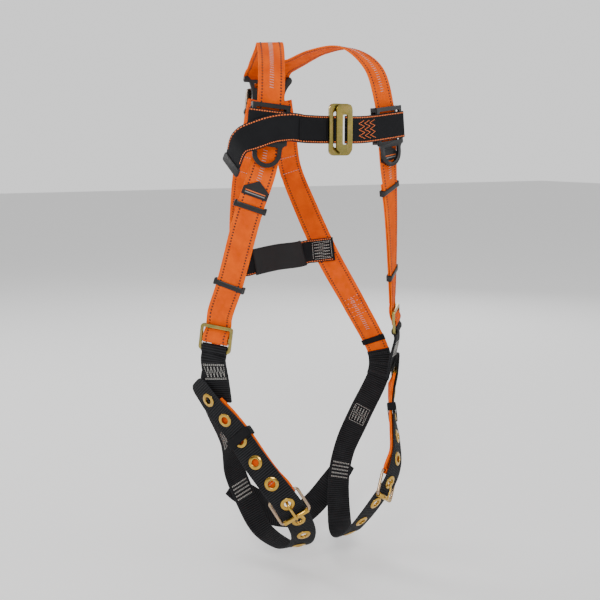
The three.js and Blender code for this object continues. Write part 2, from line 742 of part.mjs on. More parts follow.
// A sleeve round the middle of the strap, cut at the strap's own steps so that they run parallel.
function labelSleeve() {
  const [first, last] = [12, 22];
  const [from, to] = [first / LUMBAR_STEPS, last / LUMBAR_STEPS];
  const step = 1 / LUMBAR_STEPS;
  const outer = ribbon(LUMBAR, last - first, from, to, WEBBING + 5, 6);
  return cut(outer, ribbon(LUMBAR, last - first + 2, from - step, to + step, WEBBING + 2, 3.6));
}

// ---- Sub-pelvic strap, sewn over the leg straps ----
const SUB_STATION = station(DOWN, atPoint(DOWN, 10.9));
const SUB_HALF = placed(SUB_STATION, [
  [12, -24, 3.4, 0, 0, 1],
  [5, -9, 3.3, 0, 0, 1],
  [-6, 8, 3.5, 0, 0, 1],
  [-17, 24, 4.8, -0.05, 0, 1],
]);
const SUB_PELVIC = [
  ...SUB_HALF,
  [50, 34, -860, 0.15, 0.8, -0.6],
  [0, 24, -876, 0, 0.4, -0.9],
  [-50, 34, -860, -0.15, 0.8, -0.6],
  ...mirrored([...SUB_HALF].reverse()),
];

harness.add(makeSide('left'));
const right = makeSide('right');
right.scale.x = -1;
harness.add(right);

addChest();
const ring = groupAt(harness, dorsalFrame(RING_AXIS));
addMetal(ring, 'dorsal_ring', dorsalRing(), COLOUR.steel);
add(ring, 'dorsal_crossing', crossing(), COLOUR.orange);
add(groupAt(harness, dorsalFrame(PAD_CENTRE)), 'dorsal_pad', dorsalPad(), COLOUR.plastic, 0.5);
add(harness, 'lumbar_strap', ribbon(LUMBAR, LUMBAR_STEPS), COLOUR.black);
add(harness, 'label_sleeve', labelSleeve(), COLOUR.black);
add(harness, 'sub_pelvic_strap', ribbon(SUB_PELVIC, 36), COLOUR.black);
const labels = {
  left: patch(OVER, atPoint(OVER, STRAP_FOLD.length + 2.28), pentagon()),
  right: patch(mirrored(OVER), atPoint(OVER, STRAP_FOLD.length + 1.45), pentagon()),
};
add(harness, 'label_left', labels.left, COLOUR.black);
add(harness, 'label_right', labels.right, COLOUR.black);

export default harness;
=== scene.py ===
"""Safety harness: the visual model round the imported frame. Route tables are in millimetres."""
import math

import bmesh
import bpy
import numpy as np
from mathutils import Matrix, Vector


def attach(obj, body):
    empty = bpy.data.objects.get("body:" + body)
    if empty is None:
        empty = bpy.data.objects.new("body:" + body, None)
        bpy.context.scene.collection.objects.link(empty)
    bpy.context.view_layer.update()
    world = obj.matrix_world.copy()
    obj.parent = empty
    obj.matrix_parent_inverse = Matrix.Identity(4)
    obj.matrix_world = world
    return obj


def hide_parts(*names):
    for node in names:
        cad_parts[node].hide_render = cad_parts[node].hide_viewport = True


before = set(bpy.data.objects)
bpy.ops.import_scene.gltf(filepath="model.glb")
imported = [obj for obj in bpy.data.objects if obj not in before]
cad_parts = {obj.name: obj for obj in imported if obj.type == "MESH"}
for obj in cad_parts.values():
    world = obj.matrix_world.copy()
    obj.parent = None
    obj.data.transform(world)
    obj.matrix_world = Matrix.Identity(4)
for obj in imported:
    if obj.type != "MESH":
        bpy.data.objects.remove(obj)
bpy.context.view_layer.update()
MM = 0.001
WEB, PLY = 45.0, 2.4  # the webbing's width and thickness
THREAD_WIDE = {"thread_black": 3.0, "thread_orange": 2.0, "thread_grey": 1.1}
FINE_GREY = 0.95
THREAD_TALL, THREAD_SUNK, THREAD_TOP, THREAD_PULL = 0.42, 0.25, 0.7, 0.3
BEVEL_ANGLE = math.radians(32)


# ---- camera, lights, floor
CAM_AZIMUTH, CAM_ELEVATION, CAM_DISTANCE, CAM_LENS = -28.8, 9.7, 1.632, 53.7
TARGET = Vector((0.0, 0.0, -0.447))
WORLD_GREY = ((0.0, 1.0), (0.2, 1.0), (0.32, 0.1), (0.52, 0.13), (0.64, 0.6), (1.0, 0.7))
WORLD_STRENGTH = 1.1
FLOOR_HALF, FLOOR_HEIGHT = 14.0, -0.93


def new_object(name, data):
    obj = bpy.data.objects.new(name, data)
    bpy.context.scene.collection.objects.link(obj)
    return obj


def aim(obj, place, target):
    obj.location = place
    obj.rotation_euler = (target - place).to_track_quat("-Z", "Y").to_euler()


def make_camera():
    data = bpy.data.cameras.new("camera")
    data.lens = CAM_LENS
    data.clip_end = 40
    cam = new_object("camera", data)
    a, e = math.radians(CAM_AZIMUTH), math.radians(CAM_ELEVATION)
    back = Vector((math.sin(a) * math.cos(e), -math.cos(a) * math.cos(e), math.sin(e)))
    aim(cam, TARGET + back * CAM_DISTANCE, TARGET)
    bpy.context.scene.camera = cam


def area(name, place, size, power, colour=(1, 1, 1)):
    data = bpy.data.lights.new(name, "AREA")
    data.shape = "DISK"
    data.size = size
    data.energy = power
    data.color = colour
    aim(new_object(name, data), Vector(place), TARGET)


def make_stage():
    world = bpy.data.worlds.new("studio")
    bpy.context.scene.world = world
    world.use_nodes = True
    tree = world.node_tree
    coord = tree.nodes.new("ShaderNodeTexCoord")
    split = tree.nodes.new("ShaderNodeSeparateXYZ")
    ramp = tree.nodes.new("ShaderNodeValToRGB")
    tree.links.new(coord.outputs["Generated"], split.inputs[0])
    tree.links.new(split.outputs[2], ramp.inputs[0])
    tree.links.new(ramp.outputs[0], tree.nodes["Background"].inputs[0])
    while len(ramp.color_ramp.elements) < len(WORLD_GREY):
        ramp.color_ramp.elements.new(0.5)
    for stop, (place, value) in zip(ramp.color_ramp.elements, WORLD_GREY):
        stop.position = place
        stop.color = (value, value, value, 1)
    tree.nodes["Background"].inputs[1].default_value = WORLD_STRENGTH
    area("key", (-1.7, -2.2, 1.3), 1.2, 50, (1, 0.985, 0.96))
    area("fill", (2.3, -1.5, 0.4), 1.6, 9, (0.96, 0.98, 1))
    area("back_left", (-1.6, 2.3, 1.0), 1.3, 34)
    area("back_right", (1.9, 2.0, 0.6), 1.4, 20)
    area("top", (0.2, 0.2, 2.2), 1.6, 16)
    mesh = bpy.data.meshes.new("floor")
    r, z = FLOOR_HALF, FLOOR_HEIGHT
    mesh.from_pydata([(-r, -r, z), (r, -r, z), (r, r, z), (-r, r, z)], [], [(0, 1, 2, 3)])
    floor = new_object("floor", mesh)
    mat = bpy.data.materials.new("floor")
    mat.use_nodes = True
    b = mat.node_tree.nodes["Principled BSDF"]
    for socket, value in (
            ("Base Color", (0.86, 0.86, 0.86, 1)), ("Roughness", 0.9), ("Specular IOR Level", 0.2),
            ("Emission Color", (1, 1, 1, 1)), ("Emission Strength", 0.22)):
        b.inputs[socket].default_value = value
    mesh.materials.append(mat)


make_camera()
make_stage()


# ---- curves and stations
def catmull(points, ts):
    P = np.asarray(points, float)
    L = len(P)
    p = (L - 1) * np.clip(np.atleast_1d(np.asarray(ts, float)), 0, 1)
    i = np.minimum(np.floor(p).astype(int), L - 2)
    w = (p - i)[:, None]
    p1, p2 = P[i], P[i + 1]
    p0 = np.where((i > 0)[:, None], P[np.maximum(i - 1, 0)], 2 * P[0] - P[1])
    p3 = np.where((i + 2 < L)[:, None], P[np.minimum(i + 2, L - 1)], 2 * P[-1] - P[-2])

    def gap(a, b):
        return np.sum((a - b) ** 2, axis=1, keepdims=True) ** 0.25

    d0, d1, d2 = gap(p0, p1), gap(p1, p2), gap(p2, p3)
    d1 = np.where(d1 < 1e-4, 1, d1)
    d0 = np.where(d0 < 1e-4, d1, d0)
    d2 = np.where(d2 < 1e-4, d1, d2)
    t1 = ((p1 - p0) / d0 - (p2 - p0) / (d0 + d1) + (p2 - p1) / d1) * d1
    t2 = ((p2 - p1) / d1 - (p3 - p1) / (d1 + d2) + (p3 - p2) / d2) * d1
    return p1 + t1 * w + (-3 * p1 + 3 * p2 - 2 * t1 - t2) * w**2 + (2 * p1 - 2 * p2 + t1 + t2) * w**3


def unit(v):
    return v / np.maximum(np.linalg.norm(v, axis=-1, keepdims=True), 1e-9)


def frames(route, ts):
    """Centre, across, along and out of a route at each t."""
    R = np.asarray(route, float)
    ts = np.atleast_1d(np.asarray(ts, float))
    centre = catmull(R[:, :3], ts)
    ahead = catmull(R[:, :3], np.minimum(ts + 1e-4, 1))
    behind = catmull(R[:, :3], np.maximum(ts - 1e-4, 0))
    along = unit(ahead - behind)
    out = catmull(R[:, 3:], ts)
    out = unit(out - along * np.sum(out * along, axis=1, keepdims=True))
    return centre, np.cross(along, out), along, out


def axes(x, y, z, origin):
    m = np.eye(4)
    m[:3, 0], m[:3, 1], m[:3, 2], m[:3, 3] = x, y, z, origin
    return m


def station(route, t):
    """The frame on a route at t: x across, y along and z out."""
    centre, x, along, out = (v[0] for v in frames(route, [t]))
    return axes(x, along, out, centre)


def shift(m, x, y, z):
    k = np.eye(4)
    k[:3, 3] = (x, y, z)
    return m @ k


def turn(m, angle, i=0):
    """The frame turned in the plane of its axes i and i + 1."""
    k = np.eye(4)
    c, s = math.cos(angle), math.sin(angle)
    k[i:i + 2, i:i + 2] = [[c, -s], [s, c]]
    return m @ k


def run(points):
    """The length walked to each point."""
    return np.concatenate([[0], np.cumsum(np.linalg.norm(np.diff(points, axis=0), axis=1))])


def walk(route, t, length, steps=800):
    """The t that lies length further along the route than t."""
    ts = np.linspace(0, 1, steps + 1)
    s = run(catmull(np.asarray(route, float)[:, :3], ts))
    return float(np.interp(s[int(round(t * steps))] + length, s, ts))


def at_point(route, index):
    """The t of a row of the route's table."""
    return index / (len(route) - 1)


def offset(route, distance):
    out = []
    for p in route:
        n = np.asarray(p[3:], float)
        q = np.asarray(p[:3], float) + n * distance / np.linalg.norm(n)
        out.append([*q, *n])
    return out


def placed(m, route):
    out = []
    for p in route:
        q = m[:3, :3] @ np.asarray(p[:3], float) + m[:3, 3]
        n = m[:3, :3] @ np.asarray(p[3:], float)
        out.append([*q, *(n / np.linalg.norm(n))])
    return out


def local_route(m, points):
    return placed(m, [[0, a, o, 0, fa, fo] for a, o, fa, fo in points])


def mirrored(route):
    return [[-p[0], p[1], p[2], -p[3], p[4], p[5]] for p in route]


def stretch(route, t0, t1, count):
    R = np.asarray(route, float)
    ts = np.linspace(t0, t1, count)
    return [list(v) for v in np.hstack([catmull(R[:, :3], ts), catmull(R[:, 3:], ts)])]


# ---- routes, as in the frame
FRONT = [
    [183, -42, -472, 0.72, -0.69, 0],
    [166, -56, -400, 0.66, -0.75, 0],
    [142, -82, -280, 0.5, -0.87, 0],
    [121, -100, -200, 0.28, -0.95, 0],
    [114.5, -102, -145, 0.24, -0.97, 0.02],
    [108.5, -101, -95, 0.2, -0.98, 0.08],
    [98, -83, -38, 0.1, -0.75, 0.65],
    [76, -34, -2, 0.05, -0.1, 1],
]
SHOULDER = [
    [51, 26, -4, 0, 0.2, 1],
    [36, 78, -18, 0, 0.5, 0.85],
    [26, 115, -29, 0, 0.9, 0.45],
    [25, 130, -43.5, 0, 1, 0.15],
    [25, 130.6, -52, 0, 1, 0],
]
BACK = [
    [23, 115, -88, 0, 1, 0.1],
    [38, 122, -165, 0.05, 1, 0.05],
    [50, 128, -215, 0.12, 1, 0],
    [72, 106, -290, 0.3, 0.95, 0],
    [98, 66, -380, 0.5, 0.85, 0],
    [134, 30, -467, 0.7, 0.7, 0],
    [181, 13, -562, 0.8, 0.6, 0],
]
HIP = [
    [185, 11, -588, 0.83, 0.57, 0],
    [181, 13, -616, 0.85, 0.53, 0],
]
LEG_REAR = [
    [144, 20, -690, 0.74, 0.67, 0],
    [119, 36, -764, 0.22, 0.97, -0.05],
    [103, 28, -812, 0.12, 0.95, -0.3],
    [83, -6, -870, 0.1, 0.5, -0.86],
    [60, -54, -887, 0.08, 0, -1],
]
LEG_FRONT = [
    [53, -94, -871, 0.1, -0.6, -0.8],
    [60, -122, -839, 0.2, -0.85, -0.4],
    [81, -139, -799, 0.3, -0.9, -0.2],
    [106, -145, -763, 0.42, -0.88, -0.02],
    [127, -134, -731, 0.48, -0.87, 0],
    [146, -105, -695, 0.58, -0.8, 0],
    [166, -64, -648, 0.84, -0.55, 0],
    [188, -36, -614, 0.94, -0.3, 0],
    [209, -6, -572, 0.98, -0.12, 0],
]
DOWN = BACK + HIP + LEG_REAR + LEG_FRONT
HIP_FROM = at_point(DOWN, len(BACK) - 1)
HIP_TO = at_point(DOWN, len(BACK) + len(HIP) - 1)
LEG_BOTTOM = at_point(DOWN, len(BACK) + len(HIP) + len(LEG_REAR) - 1)

BAR_LOW, LOWER_BAR = -4, -20
ADJUSTER_TURN = -0.17
ADJUSTER = shift(turn(station(FRONT, 0), ADJUSTER_TURN), 0, -20, 0)
STRAP_FOLD = local_route(ADJUSTER, [
    [BAR_LOW + 5, -4.2, 0, -1],
    [BAR_LOW - 1, -3.6, -0.4, -1],
    [BAR_LOW - 4.4, 0, -1, 0],
    [BAR_LOW - 1, 3.6, -0.4, 1],
    [BAR_LOW + 5.5, 4, 0.2, 1],
    [BAR_LOW + 13, 0.6, 0.9, 1],
    [16, -4.2, 0.5, 1],
    [24, -5, 0, 1],
    [40, -4, 0, 1],
])
FOLD = len(STRAP_FOLD)
OVER = STRAP_FOLD + FRONT[1:] + SHOULDER
TAIL = local_route(ADJUSTER, [
    [BAR_LOW + 6, -4.3, 0, 1],
    [8, -6.6, 0, 1],
    [16, -8, 0, 1],
    [24, -8.4, 0, 1],
    [40, -7.6, 0, 1],
]) + offset(stretch(OVER, at_point(OVER, FOLD), at_point(OVER, FOLD + 1.6), 8), -3.7)

FACE_EDGE, RETURN_OUT, CHEST_OUT = 31, 3.4, 11.5
SLIDER = station(OVER, at_point(OVER, FOLD + 3.15))
FIRST_GROMMET = at_point(DOWN, len(DOWN) - 6.1)
BUCKLE = turn(shift(station(DOWN, walk(DOWN, FIRST_GROMMET, -7.4)), 0, 0, -1.8), -0.38, 1)
HALF, REACH, WIRE = 22, 27.5, 2.6
LINING_DEPTH = 6.2
LINING = local_route(BUCKLE, [
    [HALF + 3, -0.6, 0, 1],
    [HALF + 12, -0.2, 0, 1],
]) + stretch(offset(DOWN, -LINING_DEPTH), walk(DOWN, FIRST_GROMMET, 52), at_point(DOWN, len(DOWN) - 1.9), 5)
TORSO_LOOP = local_route(ADJUSTER, [
    [LOWER_BAR - 5, 0, 0, 1],
    [LOWER_BAR - 18, 0, 0, 1],
]) + [
    [183, -35, -565, 0.7, -0.72, 0],
    [175, -32, -606, 0.8, -0.6, 0],
]
RING_AXIS = (0, 139, -69)
CROSSING = local_route(axes((-1, 0, 0), (0, 0, 1), (0, 1, 0), RING_AXIS), [
    [11.5, -9.5, 1, 0],
    [11.5, 0, 1, 0.1],
    [10, 7.4, 0.75, 0.65],
    [0, 9.6, 0, 1],
    [-10, 7.4, -0.75, 0.65],
    [-11.5, 0, -1, 0.1],
    [-11.5, -9.5, -1, 0],
])
CHEST = axes((1, 0, 0), (0, 0, 1), (0, -1, 0), (4, -129, -144))
SLIDER_LOOP = [
    [-FACE_EDGE - 12, 1, RETURN_OUT, 0, 0, -1],
    [0, 1, RETURN_OUT, 0, 0, -1],
    [24, 1, RETURN_OUT, 0, 0, -1],
    [FACE_EDGE + 0.5, 1, RETURN_OUT + 0.1, 0.2, 0, -1],
    [FACE_EDGE + 4.6, 1, (RETURN_OUT + CHEST_OUT) / 2, 1, 0, 0],
    [FACE_EDGE + 0.5, 1, CHEST_OUT - 0.1, 0.2, 0, 1],
    [24, 1, CHEST_OUT, 0, 0, 1],
    [0, 1, CHEST_OUT, 0, 0, 1],
    [-FACE_EDGE - 1, 1, CHEST_OUT, 0, 0, 1],
]
CHEST_LEFT = placed(SLIDER, SLIDER_LOOP) + placed(CHEST, [
    [50, 1, 0.5, 0, 0, 1],
    [30, 0, 3.9, 0, 0, 1],
    [7, 0, 3.9, 0, 0, 1],
])
CHEST_RIGHT = mirrored(placed(SLIDER, SLIDER_LOOP)) + placed(CHEST, [
    [-66, 1, -7.6, 0, 0, 1],
    [-40, 0, -7.8, 0, 0, 1],
    [-22, 0, -7.9, 0, 0, 1],
    [-5, 0, -7.9, 0, 0, 1],
])
CHEST_TAIL = placed(CHEST, [
    [-5.3, 0, -3.8, 0, 0, -1],
    [-2.4, 0, -2.8, 0.7, 0, -0.7],
    [-1.3, 0, 0, 1, 0, 0],
    [-2.4, 0, 2.8, 0.7, 0, 0.7],
    [-5.3, 0, 3.9, 0, 0, 1],
    [-8.9, 0, 3, -0.6, 0, 0.8],
    [-10.6, 0, 0, -1, 0, 0.1],
    [-11.3, 0, -2.8, -0.9, 0, 0.4],
    [-13.6, 0, -4.8, -0.4, 0, 0.9],
    [-19, 0, -4.9, 0, 0, 1],
    [-34, 0, -4.8, 0, 0, 1],
    [-50, 0.4, -4.7, 0, 0, 1],
    [-66, 1, -4.3, 0, 0, 1],
]) + mirrored(placed(SLIDER, [
    [-38, 1, 15.2, 0, 0, 1],
    [-8, -5, 15.2, 0, 0, 1],
    [22, -18, 16.6, 0.2, 0, 1],
    [46, -33, 12.5, 0.8, 0, 0.6],
])) + [[-168, -82, -193, -1, -0.15, 0]]
SEWN = -3.9
LUMBAR_LEFT = station(DOWN, at_point(DOWN, 3.86))
LUMBAR_RIGHT = station(DOWN, at_point(DOWN, 4.02))
LUMBAR_END = [
    [17, 6, SEWN, 0, 0, 1],
    [0, 0, SEWN, 0, 0, 1],
    [-20, -7, SEWN, 0, 0, 1],
    [-31, -11, SEWN - 2, 0, 0, 1],
]
LUMBAR = placed(LUMBAR_LEFT, LUMBAR_END) + [
    [40, 80, -374, 0.1, 1, 0],
    [0, 84, -377, 0, 1, 0],
    [-40, 78, -381, -0.1, 1, 0],
] + mirrored(placed(LUMBAR_RIGHT, LUMBAR_END[::-1]))
SUB_HALF = placed(station(DOWN, at_point(DOWN, 10.9)), [
    [12, -24, 3.4, 0, 0, 1],
    [5, -9, 3.3, 0, 0, 1],
    [-6, 8, 3.5, 0, 0, 1],
    [-17, 24, 4.8, -0.05, 0, 1],
])
SUB_PELVIC = SUB_HALF + [
    [50, 34, -860, 0.15, 0.8, -0.6],
    [0, 24, -876, 0, 0.4, -0.9],
    [-50, 34, -860, -0.15, 0.8, -0.6],
] + mirrored(SUB_HALF[::-1])


# ---- materials
class Nodes:
    """Short calls for building a shader."""

    def __init__(self, name):
        self.mat = bpy.data.materials.new(name)
        self.mat.use_nodes = True
        self.tree = self.mat.node_tree
        self.bsdf = self.tree.nodes["Principled BSDF"]
        self.coord = self.tree.nodes.new("ShaderNodeTexCoord")

    def node(self, kind, **values):
        n = self.tree.nodes.new(kind)
        for k, v in values.items():
            setattr(n, k, v)
        return n

    def link(self, a, b):
        self.tree.links.new(a, b)

    def feed(self, socket, value):
        if isinstance(value, (int, float)):
            socket.default_value = value
        elif isinstance(value, tuple):
            socket.default_value = (*value, 1) if len(value) == 3 and socket.type == "RGBA" else value
        else:
            self.link(value, socket)

    def math(self, op, a, b=None, c=None):
        n = self.node("ShaderNodeMath", operation=op)
        for i, v in enumerate((a, b, c)):
            if v is not None:
                self.feed(n.inputs[i], v)
        return n.outputs[0]

    def times(self, a, b):
        return self.math("MULTIPLY", a, b)

    def noise(self, scale, detail=2.0, rough=0.5):
        n = self.node("ShaderNodeTexNoise")
        self.link(self.coord.outputs["Object"], n.inputs["Vector"])
        n.inputs["Scale"].default_value = scale
        n.inputs["Detail"].default_value = detail
        n.inputs["Roughness"].default_value = rough
        return n.outputs["Fac"]

    def mix(self, fac, a, b):
        n = self.node("ShaderNodeMix", data_type="RGBA")
        self.feed(n.inputs[0], fac)
        self.feed(n.inputs[6], a)
        self.feed(n.inputs[7], b)
        return n.outputs[2]

    def ramp(self, fac, low, high, a=0.0, b=1.0):
        n = self.node("ShaderNodeMapRange")
        self.feed(n.inputs[0], fac)
        for i, v in enumerate((low, high, a, b)):
            n.inputs[i + 1].default_value = v
        return n.outputs[0]

    def uv(self):
        n = self.node("ShaderNodeSeparateXYZ")
        self.link(self.coord.outputs["UV"], n.inputs[0])
        return n.outputs[0], n.outputs[1]

    def bump(self, height, strength, distance, normal=None):
        n = self.node("ShaderNodeBump")
        self.feed(n.inputs["Height"], height)
        n.inputs["Strength"].default_value = strength
        n.inputs["Distance"].default_value = distance
        if normal is not None:
            self.link(normal, n.inputs["Normal"])
        return n.outputs[0]

    def done(self, colour, rough, normal=None, **uniform):
        self.feed(self.bsdf.inputs["Base Color"], colour)
        self.feed(self.bsdf.inputs["Roughness"], rough)
        if normal is not None:
            self.link(normal, self.bsdf.inputs["Normal"])
        for k, v in uniform.items():
            s = self.bsdf.inputs[k.replace("_", " ")]
            s.default_value = (*v, 1) if isinstance(v, tuple) else v
        return self.mat


def sine(n, value, period):
    """0 to 1 sine of a length in centimetres."""
    return n.math("MULTIPLY_ADD", n.math("SINE", n.times(value, 2 * math.pi / period)), 0.5, 0.5)


def smooth_webbing(name, base, dark, light):
    """Close twill webbing: fine lengthwise wales with a slanting pick, worn lighter at its edges."""
    n = Nodes(name)
    u, v = n.uv()
    chevron = n.math("PINGPONG", u, 0.55)
    twill = sine(n, n.math("ADD", v, n.times(chevron, 0.75)), 0.2)
    wale = sine(n, u, 0.16)
    weave = n.math("MULTIPLY_ADD", wale, 0.35, n.times(twill, 0.65))
    mottle = n.noise(38, 3, 0.6)
    fibre = n.noise(1500, 2, 0.6)
    colour = n.mix(n.ramp(mottle, 0.3, 0.72), dark, base)
    colour = n.mix(n.times(n.ramp(weave, 0.45, 1.0), 0.3), colour, light)
    colour = n.mix(n.times(n.ramp(weave, 0.4, 0.0), 0.35), colour, dark)
    edge = n.ramp(n.math("ABSOLUTE", u), 2.02, 2.2)
    colour = n.mix(n.times(edge, n.ramp(n.noise(120, 2), 0.35, 0.7, 0.1, 0.5)), colour, light)
    colour = n.mix(n.ramp(fibre, 0.35, 0.7, 0.0, 0.16), colour, light)
    height = n.math("MULTIPLY_ADD", fibre, 0.4, weave)
    normal = n.bump(height, 0.5, 0.00028)
    rough = n.ramp(mottle, 0.2, 0.8, 0.66, 0.82)
    return n.done(colour, rough, normal, Specular_IOR_Level=0.06)


def ribbed_webbing(name, base, light, period, depth):
    """Tubular webbing with a rib across it."""
    n = Nodes(name)
    u, v = n.uv()
    drift = n.times(n.math("SUBTRACT", n.noise(16, 2), 0.5), 0.12)
    rib = sine(n, n.math("ADD", v, drift), period)
    yarn = sine(n, n.math("ADD", u, n.times(v, 0.9)), 0.09)
    mottle = n.noise(45, 3, 0.6)
    fibre = n.noise(1700, 2, 0.6)
    colour = n.mix(n.times(n.ramp(rib, 0.35, 1.0), 0.62), base, light)
    colour = n.mix(n.ramp(mottle, 0.35, 0.75, 0.0, 0.3), colour, light)
    colour = n.mix(n.ramp(fibre, 0.45, 0.75, 0.0, 0.22), colour, light)
    edge = n.ramp(n.math("ABSOLUTE", u), 2.04, 2.22)
    colour = n.mix(n.times(edge, 0.4), colour, light)
    height = n.math("MULTIPLY_ADD", yarn, 0.18, n.math("MULTIPLY_ADD", fibre, 0.15, rib))
    normal = n.bump(height, 0.55, depth)
    rough = n.ramp(mottle, 0.2, 0.8, 0.62, 0.8)
    return n.done(colour, rough, normal, Specular_IOR_Level=0.14)


def thread(name, base, light):
    """Sewing thread with a fine twist."""
    n = Nodes(name)
    twist = n.noise(2600, 1, 0.5)
    colour = n.mix(n.ramp(twist, 0.35, 0.7), base, light)
    return n.done(colour, 0.62, n.bump(twist, 0.4, 0.0002), Sheen_Weight=0.1, Sheen_Roughness=0.5)


def plastic(name, base, light, rough):
    """Moulded plastic with a fine grain and a few scuffs."""
    n = Nodes(name)
    grain = n.noise(1400, 3, 0.65)
    cloud = n.noise(30, 3, 0.6)
    colour = n.mix(n.ramp(cloud, 0.3, 0.75, 0.0, 0.55), base, light)
    scuff = n.ramp(n.noise(210, 6, 0.8), 0.6, 0.78)
    colour = n.mix(n.times(scuff, 0.25), colour, light)
    r = n.ramp(cloud, 0.25, 0.8, rough - 0.05, rough + 0.14)
    return n.done(colour, r, n.bump(grain, 0.35, 0.00018), Specular_IOR_Level=0.45)


def metal(name, tints, rough, forged=0.0, speckle=0.0):
    """Plated metal: the tints drift into each other, with a fine grain and a few rubbed places."""
    n = Nodes(name)
    cloud = n.noise(46, 3, 0.6)
    drift = n.noise(95, 3, 0.7)
    colour = n.mix(n.ramp(cloud, 0.35, 0.68), tints[0], tints[1])
    colour = n.mix(n.ramp(drift, 0.48, 0.72, 0.0, 0.7), colour, tints[2])
    grain = n.noise(900, 4, 0.7)
    spots = n.ramp(n.noise(420, 5, 0.75), 0.62, 0.8)
    colour = n.mix(n.times(spots, speckle), colour, tuple(0.45 * c for c in tints[0]))
    rubbed = n.ramp(cloud, 0.3, 0.7, rough - 0.05, rough + 0.08)
    r = n.math("MULTIPLY_ADD", n.math("SUBTRACT", grain, 0.5), 0.22, rubbed)
    normal = n.bump(grain, 0.25, 0.00012)
    if forged:
        normal = n.bump(n.noise(150, 3, 0.6), forged, 0.0006, normal)
    return n.done(colour, r, normal, Metallic=1.0)


def tape(name, base, dark):
    """Smooth woven tape for labels and tags."""
    n = Nodes(name)
    u, v = n.uv()
    weave = n.times(sine(n, u, 0.06), sine(n, v, 0.06))
    cloud = n.noise(60, 3, 0.6)
    colour = n.mix(n.ramp(cloud, 0.3, 0.75, 0.0, 0.45), base, dark)
    colour = n.mix(n.times(weave, 0.15), colour, dark)
    rough = n.ramp(cloud, 0.2, 0.8, 0.5, 0.66)
    return n.done(colour, rough, n.bump(weave, 0.3, 0.00015), Specular_IOR_Level=0.35)


M = {
    "orange": smooth_webbing("orange_webbing", (0.90, 0.115, 0.0), (0.64, 0.058, 0.0), (1.0, 0.2, 0.0)),
    "black": ribbed_webbing("black_webbing", (0.001, 0.001, 0.0015), (0.034, 0.035, 0.039), 0.40, 0.0018),
    "fine_black": ribbed_webbing(
        "fine_black_webbing", (0.003, 0.003, 0.004), (0.020, 0.021, 0.024), 0.15, 0.0004),
    "elastic": ribbed_webbing("elastic", (0.003, 0.003, 0.004), (0.016, 0.016, 0.018), 0.11, 0.0003),
    "thread_black": thread("thread_black", (0.004, 0.003, 0.003), (0.016, 0.014, 0.014)),
    "thread_grey": thread("thread_grey", (0.36, 0.35, 0.33), (0.56, 0.55, 0.52)),
    "thread_orange": thread("thread_orange", (0.75, 0.12, 0.01), (0.95, 0.24, 0.05)),
    "plastic": plastic("black_plastic", (0.002, 0.002, 0.003), (0.010, 0.010, 0.011), 0.36),
    "zinc": metal(
        "yellow_zinc", ((0.38, 0.29, 0.07), (0.25, 0.23, 0.08), (0.46, 0.31, 0.13)), 0.24, 0.12, 0.35),
    "steel": metal(
        "forged_steel", ((0.42, 0.30, 0.23), (0.27, 0.24, 0.20), (0.50, 0.36, 0.19)), 0.22, 0.3, 0.4),
    "wire": metal("wire_steel", ((0.46, 0.31, 0.20), (0.33, 0.25, 0.20), (0.52, 0.37, 0.15)), 0.22, 0.1, 0.3),
    "brass": metal("brass", ((0.55, 0.33, 0.05), (0.46, 0.27, 0.05), (0.66, 0.45, 0.13)), 0.2, 0.0, 0.2),
}


for name, base, dark in (
        ("yellow_tape", (0.94, 0.55, 0.0), (0.80, 0.42, 0.0)),
        ("black_tape", (0.007, 0.007, 0.008), (0.02, 0.02, 0.022)),
        ("white_tape", (0.74, 0.74, 0.72), (0.55, 0.55, 0.53)),
        ("grey_tape", (0.24, 0.25, 0.26), (0.15, 0.155, 0.16)),
        ("orange_tape", (0.80, 0.16, 0.02), (0.55, 0.09, 0.01))):
    M[name] = tape(name, base, dark)


# ---- meshes
class Build:
    """Collects closed shells with materials, in millimetres, and turns them into one object."""

    def __init__(self):
        self.verts, self.uvs, self.faces, self.mats, self.smooth = [], [], [], [], []
        self.slots, self.count = [], 0

    def add(self, verts, faces, mat, uv=None, smooth=True):
        if mat not in self.slots:
            self.slots.append(mat)
        verts = np.asarray(verts, float)
        uv = np.zeros((len(verts), 2)) if uv is None else np.asarray(uv, float)
        base = self.count
        self.verts.append(verts)
        self.uvs.append(uv)
        self.faces += [tuple(base + i for i in f) for f in faces]
        self.mats += [self.slots.index(mat)] * len(faces)
        self.smooth += [smooth] * len(faces)
        self.count += len(verts)

    def object(self, name, mirror=False):
        verts = np.vstack(self.verts) * MM
        uvs = np.vstack(self.uvs)
        faces = self.faces
        if mirror:
            verts = verts * (-1, 1, 1)
            faces = [f[::-1] for f in faces]
        mesh = bpy.data.meshes.new(name)
        mesh.from_pydata(verts.tolist(), [], faces)
        for m in self.slots:
            mesh.materials.append(M[m])
        mesh.polygons.foreach_set("material_index", self.mats)
        mesh.polygons.foreach_set("use_smooth", self.smooth)
        layer = mesh.uv_layers.new(name="UVMap")
        loops = np.zeros(len(mesh.loops), np.int32)
        mesh.loops.foreach_get("vertex_index", loops)
        layer.data.foreach_set("uv", uvs[loops].astype(np.float32).ravel())
        mesh.validate()
        return new_object(name, mesh)


def settle(obj, body, nodes):
    """Says which body the piece rides on and which nodes it replaces."""
    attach(obj, body)
    if nodes:
        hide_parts(*nodes)
    return obj


